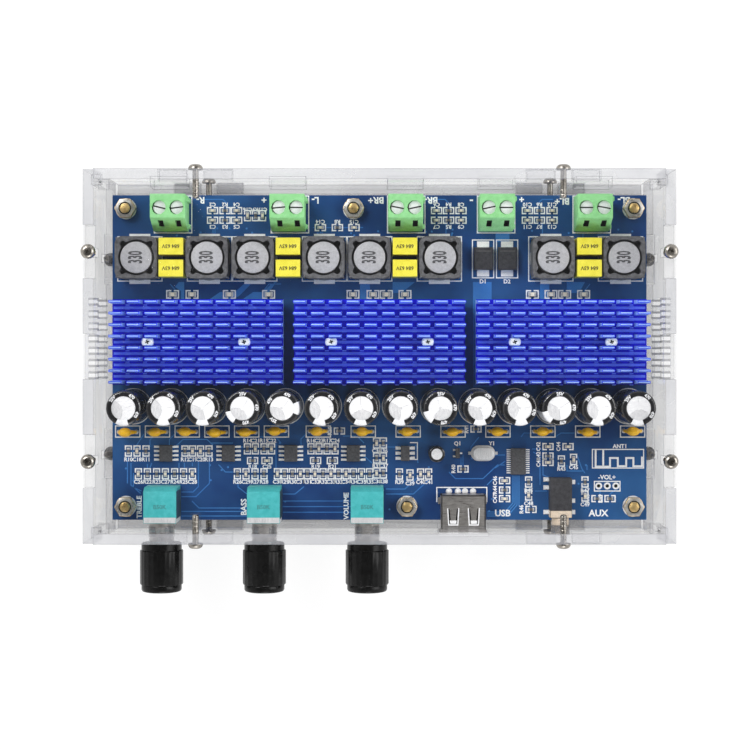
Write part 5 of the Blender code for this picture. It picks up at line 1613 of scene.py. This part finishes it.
def makeUsb():
    low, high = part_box("usb_socket")
    x, rear, front = (low.x + high.x) / 2, high.y, low.y + usb["flare"]
    wide, tall, wall, bottom = usb["width"], usb["height"], usb["wall"], boardTop + usb["lift"]
    top, centre = bottom + tall, bottom + tall / 2
    bm = bmesh.new()
    holes, rimHighlights = [], []
    w, t = usb["slotWidth"] / 2, usb["tongue"] / 2
    near, far = front + 1.6 * mm, front + 1.6 * mm + usb["slotLength"]
    for side in (-1, 1):
        cx = x + side * usb["slotSpacing"] / 2
        holes.append([(cx - w, far), (cx - w * 0.8, near), (cx + w * 0.8, near), (cx + w, far),
                      (cx + w * 0.75, far), (cx + t * 0.8, near + 0.9 * mm), (cx - t * 0.8, near + 0.9 * mm),
                      (cx - w * 0.75, far)])
        spring = [(far - 0.1 * mm, top - 0.3 * mm), (near + 2.2 * mm, top - 0.75 * mm),
                  (near + 1.1 * mm, top - 1.1 * mm), (near + 0.4 * mm, top - 0.7 * mm)]
        edge = t * 0.85
        addRings(bm, [[(cx - edge, y, z), (cx + edge, y, z), (cx + edge, y, z + 0.2 * mm),
                       (cx - edge, y, z + 0.2 * mm)] for y, z in spring], mark=3)
        rim = [(cx - w * 1.12, far + 0.1 * mm), (cx - w * 0.92, near - 0.2 * mm),
               (cx + w * 0.92, near - 0.2 * mm), (cx + w * 1.12, far + 0.1 * mm)]
        rimHighlights.append((rim, [(cx - w * 0.62, near + 0.15 * mm), (cx + w * 0.62, near + 0.15 * mm),
                              (cx + w * 0.66, near + 1.1 * mm), (cx - w * 0.66, near + 1.1 * mm)]))
    plate = [(x - wide / 2, front), (x + wide / 2, front), (x + wide / 2, rear), (x - wide / 2, rear)]
    addPrism(bm, plate, top - wall, top, holes)
    addPrism(bm, plate, bottom, bottom + wall)
    for side in (-1, 1):
        addBlock(bm, x + side * (wide - wall) / 2, (front + rear) / 2, wall, rear - front, bottom, top)
        addBlock(bm, x + side * (wide / 2 + 0.35 * mm), rear - 2.2 * mm, 0.7 * mm, 1.9 * mm, boardTop,
                 boardTop + 0.5 * mm)
    addBlock(bm, x, rear - wall / 2, wide, wall, bottom, top)
    lip = []
    for grow, y in ((0, front + 0.02 * mm), (0.25 * mm, front - 0.35 * mm), (usb["flare"], low.y)):
        lip.append([(x + sx * (wide / 2 + grow * 0.9), y, centre + sz * (tall / 2 + grow * 0.6))
                    for sx, sz in ((-1, -1), (1, -1), (1, 1), (-1, 1))])
    inner = [[(x + (px - x) * 0.955, y, centre + (z - centre) * 0.92) for px, y, z in ring]
             for ring in lip[::-1]]
    addRings(bm, lip + inner, capped=False)
    bevelSharp(bm, 0.05 * mm, segments=1, angle=60)
    before = set(bm.faces)
    # the rims and feet take the bright pad finish, a painted highlight on the shell's metal
    for rim, foot in rimHighlights:  # rolled rims of the spring slots and the springs' feet
        addStrip(bm, rim, 0.34 * mm, top - 0.02 * mm, top + 0.1 * mm)
        addPrism(bm, foot, top - 0.02 * mm, top + 0.14 * mm)
    for face in set(bm.faces) - before:
        face.material_index = 3
    addBlock(bm, x, (front + rear) / 2 + 0.4 * mm, 11.0 * mm, rear - front - 1.4 * mm, bottom + 3.9 * mm,
             bottom + 5.7 * mm, mark=1)
    for i in range(4):
        addBlock(bm, x + (i - 1.5) * 2.3 * mm, front + 4.0 * mm, 1.1 * mm, 5.6 * mm, bottom + 3.84 * mm,
                 bottom + 3.95 * mm, mark=2)
    for px in (449, 458, 465, 473):
        profile = ((0.95 * mm, boardTop), (0.85 * mm, boardTop + 0.25 * mm), (0.5 * mm, boardTop + 0.6 * mm),
                   (0.2 * mm, boardTop + 0.75 * mm))
        addRings(bm, turnedRings(profile, 14, onBoard(px, 491.3)), mark=3)
    addBuilt("usb_shell", bm, ["tin", "jackBlack", "brass", "pad"], slotName="tin", stands=["usb_socket"])


def makeAux():
    low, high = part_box("aux_jack")
    x = (low.x + high.x) / 2
    bm = solidCopy("aux_jack")
    cut = min(v.co.y for v in bm.verts if v.co.x > high.x - 0.2 * mm) + aux["beige"]
    cutAcross(bm, cut)
    for face in bm.faces:
        face.material_index = 1 if face.calc_center_median().y < cut else 0
    bevelSharp(bm, aux["round"], segments=2, angle=40)
    addBuilt("aux_body", bm, ["jackBlack", "beige"], slotName="chip_black", stands=["aux_jack"])
    bm = bmesh.new()
    half, wide, thick = aux["half"], 0.45 * mm, 0.2 * mm
    path = [(half - 0.15 * mm, 1.2), (half + 0.25 * mm, 1.2), (half + 0.4 * mm, 1.0),
            (half + 0.45 * mm, 0.25), (half + 1.2 * mm, 0.2)]
    for side, rows in ((-1, (479.4, 487.4, 512)), (1, (482, 500.6, 512))):
        for py in rows:
            y = onBoard(0, py)[1]
            addBlock(bm, x + side * (half + 0.75 * mm), y, 1.5 * mm, 1.3 * mm, boardTop,
                     boardTop + 0.12 * mm)
            rings = []
            for d, up in path:
                px, z = x + side * d, boardTop + up * mm
                rings.append([(px, y - wide, z), (px, y + wide, z), (px, y + wide, z + thick),
                              (px, y - wide, z + thick)])
            addRings(bm, rings)
    addBuilt("aux_pins", bm, ["pad"], slotName="tin")


makeUsb()
makeAux()
print("stage: sockets done")


# standoffs

standoff = {"round": 0.14 * mm, "stud": 1.42 * mm, "pitch": 0.5 * mm, "crest": 0.1 * mm, "nut": 2.44 * mm}


def makeStandoffs():
    places, tops = [], 0.0
    for i in range(1, 7):
        name = f"standoff_{i}"
        spot, tops = middle(name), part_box(name)[1].z
        bm = solidCopy(name)
        for face in bm.faces:
            at = face.calc_center_median()
            away = math.hypot(at.x - spot.x, at.y - spot.y)
            if at.z < baseLow + 0.05 * mm:
                face.material_index = 2
            elif at.z > boardTop - 0.1 * mm and away > standoff["stud"] + 0.08 * mm:
                face.material_index = 1
        bevelSharp(bm, standoff["round"], segments=2, angle=35)
        addBuilt(name + "_brass", bm, ["brass", "nut", "screw"], slotName="brass", stands=[name])
        places.append((spot.x, spot.y, boardTop + 2.35 * mm, 0.0))
    wire = grown(threadTree, [(0, 0, 0)], "brass", Radius=standoff["stud"] - 0.03 * mm,
                 Length=tops - boardTop - 2.9 * mm, Pitch=standoff["pitch"], Wire=standoff["crest"])
    addSpread("stud_threads", wire, places, "brass", slotName="brass")
    # a dark ring between stud and nut: painted shadow
    bm = bmesh.new()
    addPrism(bm, circle(1.86 * mm, 28), 0.0, 0.03 * mm, [circle(1.5 * mm, 28)])
    mouthShadows = [(x, y, boardTop + standoff["nut"], 0.0) for x, y, z, turn in places]
    addSpread("nut_mouths", toMesh(bm, "mouth_shadow"), mouthShadows, "hole", slotName="brass")


makeStandoffs()
print("stage: standoffs done")


# floor, light and camera

room = {"horizon": 0.95, "zenith": 0.1, "key": 7.9, "fill": 4.6, "front": 3.5, "glow": 0.8, "white": 1.08,
        "under": 0.14, "size": 3.0}


def whiteRays(tree):
    # one for the rays that should find a white background
    path = node(tree, "ShaderNodeLightPath").outputs
    shine = maths(tree, "ADD", path["Is Glossy Ray"], path["Is Transmission Ray"])
    return maths(tree, "ADD", path["Is Camera Ray"], shine, clamp=True)


def makeStage():
    bm = bmesh.new()
    bmesh.ops.create_grid(bm, x_segments=1, y_segments=1, size=room["size"])
    mesh = bpy.data.meshes.new("floor_plane")
    bm.to_mesh(mesh)
    bm.free()
    material = bpy.data.materials.new("pale_floor")
    material.use_nodes = True
    tree = material.node_tree
    shader = tree.nodes["Principled BSDF"]
    shader.inputs["Base Color"].default_value = (0.88, 0.88, 0.88, 1)
    shader.inputs["Roughness"].default_value = 0.9
    glow = node(tree, "ShaderNodeEmission", {"Color": (1, 1, 1, 1), "Strength": room["white"]})
    # the glow is weaker in the case's own shade
    at = node(tree, "ShaderNodeTexCoord").outputs["Object"]
    place = node(tree, "ShaderNodeSeparateXYZ", {0: at}).outputs
    away = []
    for axis, centre, half in ((0, 0.0, outerX), (1, caseY, (backY - frontY) / 2)):
        shift = maths(tree, "ABSOLUTE", maths(tree, "SUBTRACT", place[axis], centre))
        away.append(maths(tree, "SUBTRACT", shift, half))
    level = ranged(tree, maths(tree, "MAXIMUM", *away), -6 * mm, 4 * mm, room["under"], room["glow"])
    share = maths(tree, "MULTIPLY", whiteRays(tree), level)
    mix = node(tree, "ShaderNodeMixShader", {0: share, 1: shader.outputs[0], 2: glow.outputs[0]})
    tree.links.new(mix.outputs[0], tree.nodes["Material Output"].inputs["Surface"])
    mesh.materials.append(material)
    made = linked("floor_plane", mesh)
    made.location.z = cadBox[0].z - 0.02 * mm

    world = bpy.data.worlds.new("soft_room")
    bpy.context.scene.world = world
    world.use_nodes = True
    sky = world.node_tree
    way = node(sky, "ShaderNodeSeparateXYZ", {0: node(sky, "ShaderNodeTexCoord").outputs["Generated"]})
    dome = ranged(sky, way.outputs["Z"], 0.35, 0.95, room["horizon"], room["zenith"])
    back = sky.nodes["Background"].inputs
    back["Color"].default_value = (1, 1, 1, 1)
    direct = node(sky, "ShaderNodeLightPath").outputs["Is Camera Ray"]
    sky.links.new(maths(sky, "MAXIMUM", dome, direct), back["Strength"])
    for name, spot, size in (("key", (-0.55, 0.6, 0.75), 0.5), ("fill", (0.75, 0.15, 0.6), 0.6),
                             ("front", (0.1, -0.85, 0.55), 0.5)):
        lamp = bpy.data.lights.new(name, "AREA")
        lamp.size, lamp.energy = size, room[name]
        holder = linked(name, lamp)
        holder.location = spot
        holder.rotation_euler = (-Vector(spot)).to_track_quat("-Z", "Y").to_euler()


def makeCamera():
    lens = bpy.data.cameras.new("camera")
    lens.sensor_width, lens.lens, lens.clip_start = 36, 80.78, 0.01
    lens.shift_x, lens.shift_y = -4.5 / 750, -18.5 / 750
    holder = linked("camera", lens)
    holder.location = (0, caseY, boardTop + 498 * mm)
    bpy.context.scene.camera = holder


def dressStaying():
    # the CAD nodes whose shape is right as it is
    for side in ("left", "middle", "right"):
        wear(frame["nodes"]["amplifier_chip_" + side], "chip")
    for side in ("treble", "bass", "volume"):
        wear(frame["nodes"]["shaft_" + side], "tin")


def wear(made, material):
    for slot in made.material_slots:
        slot.link = "OBJECT"
        slot.material = look[material]


dressStaying()
makeStage()
makeCamera()
bpy.context.scene.view_settings.view_transform = "Standard"
print("stage: all done")
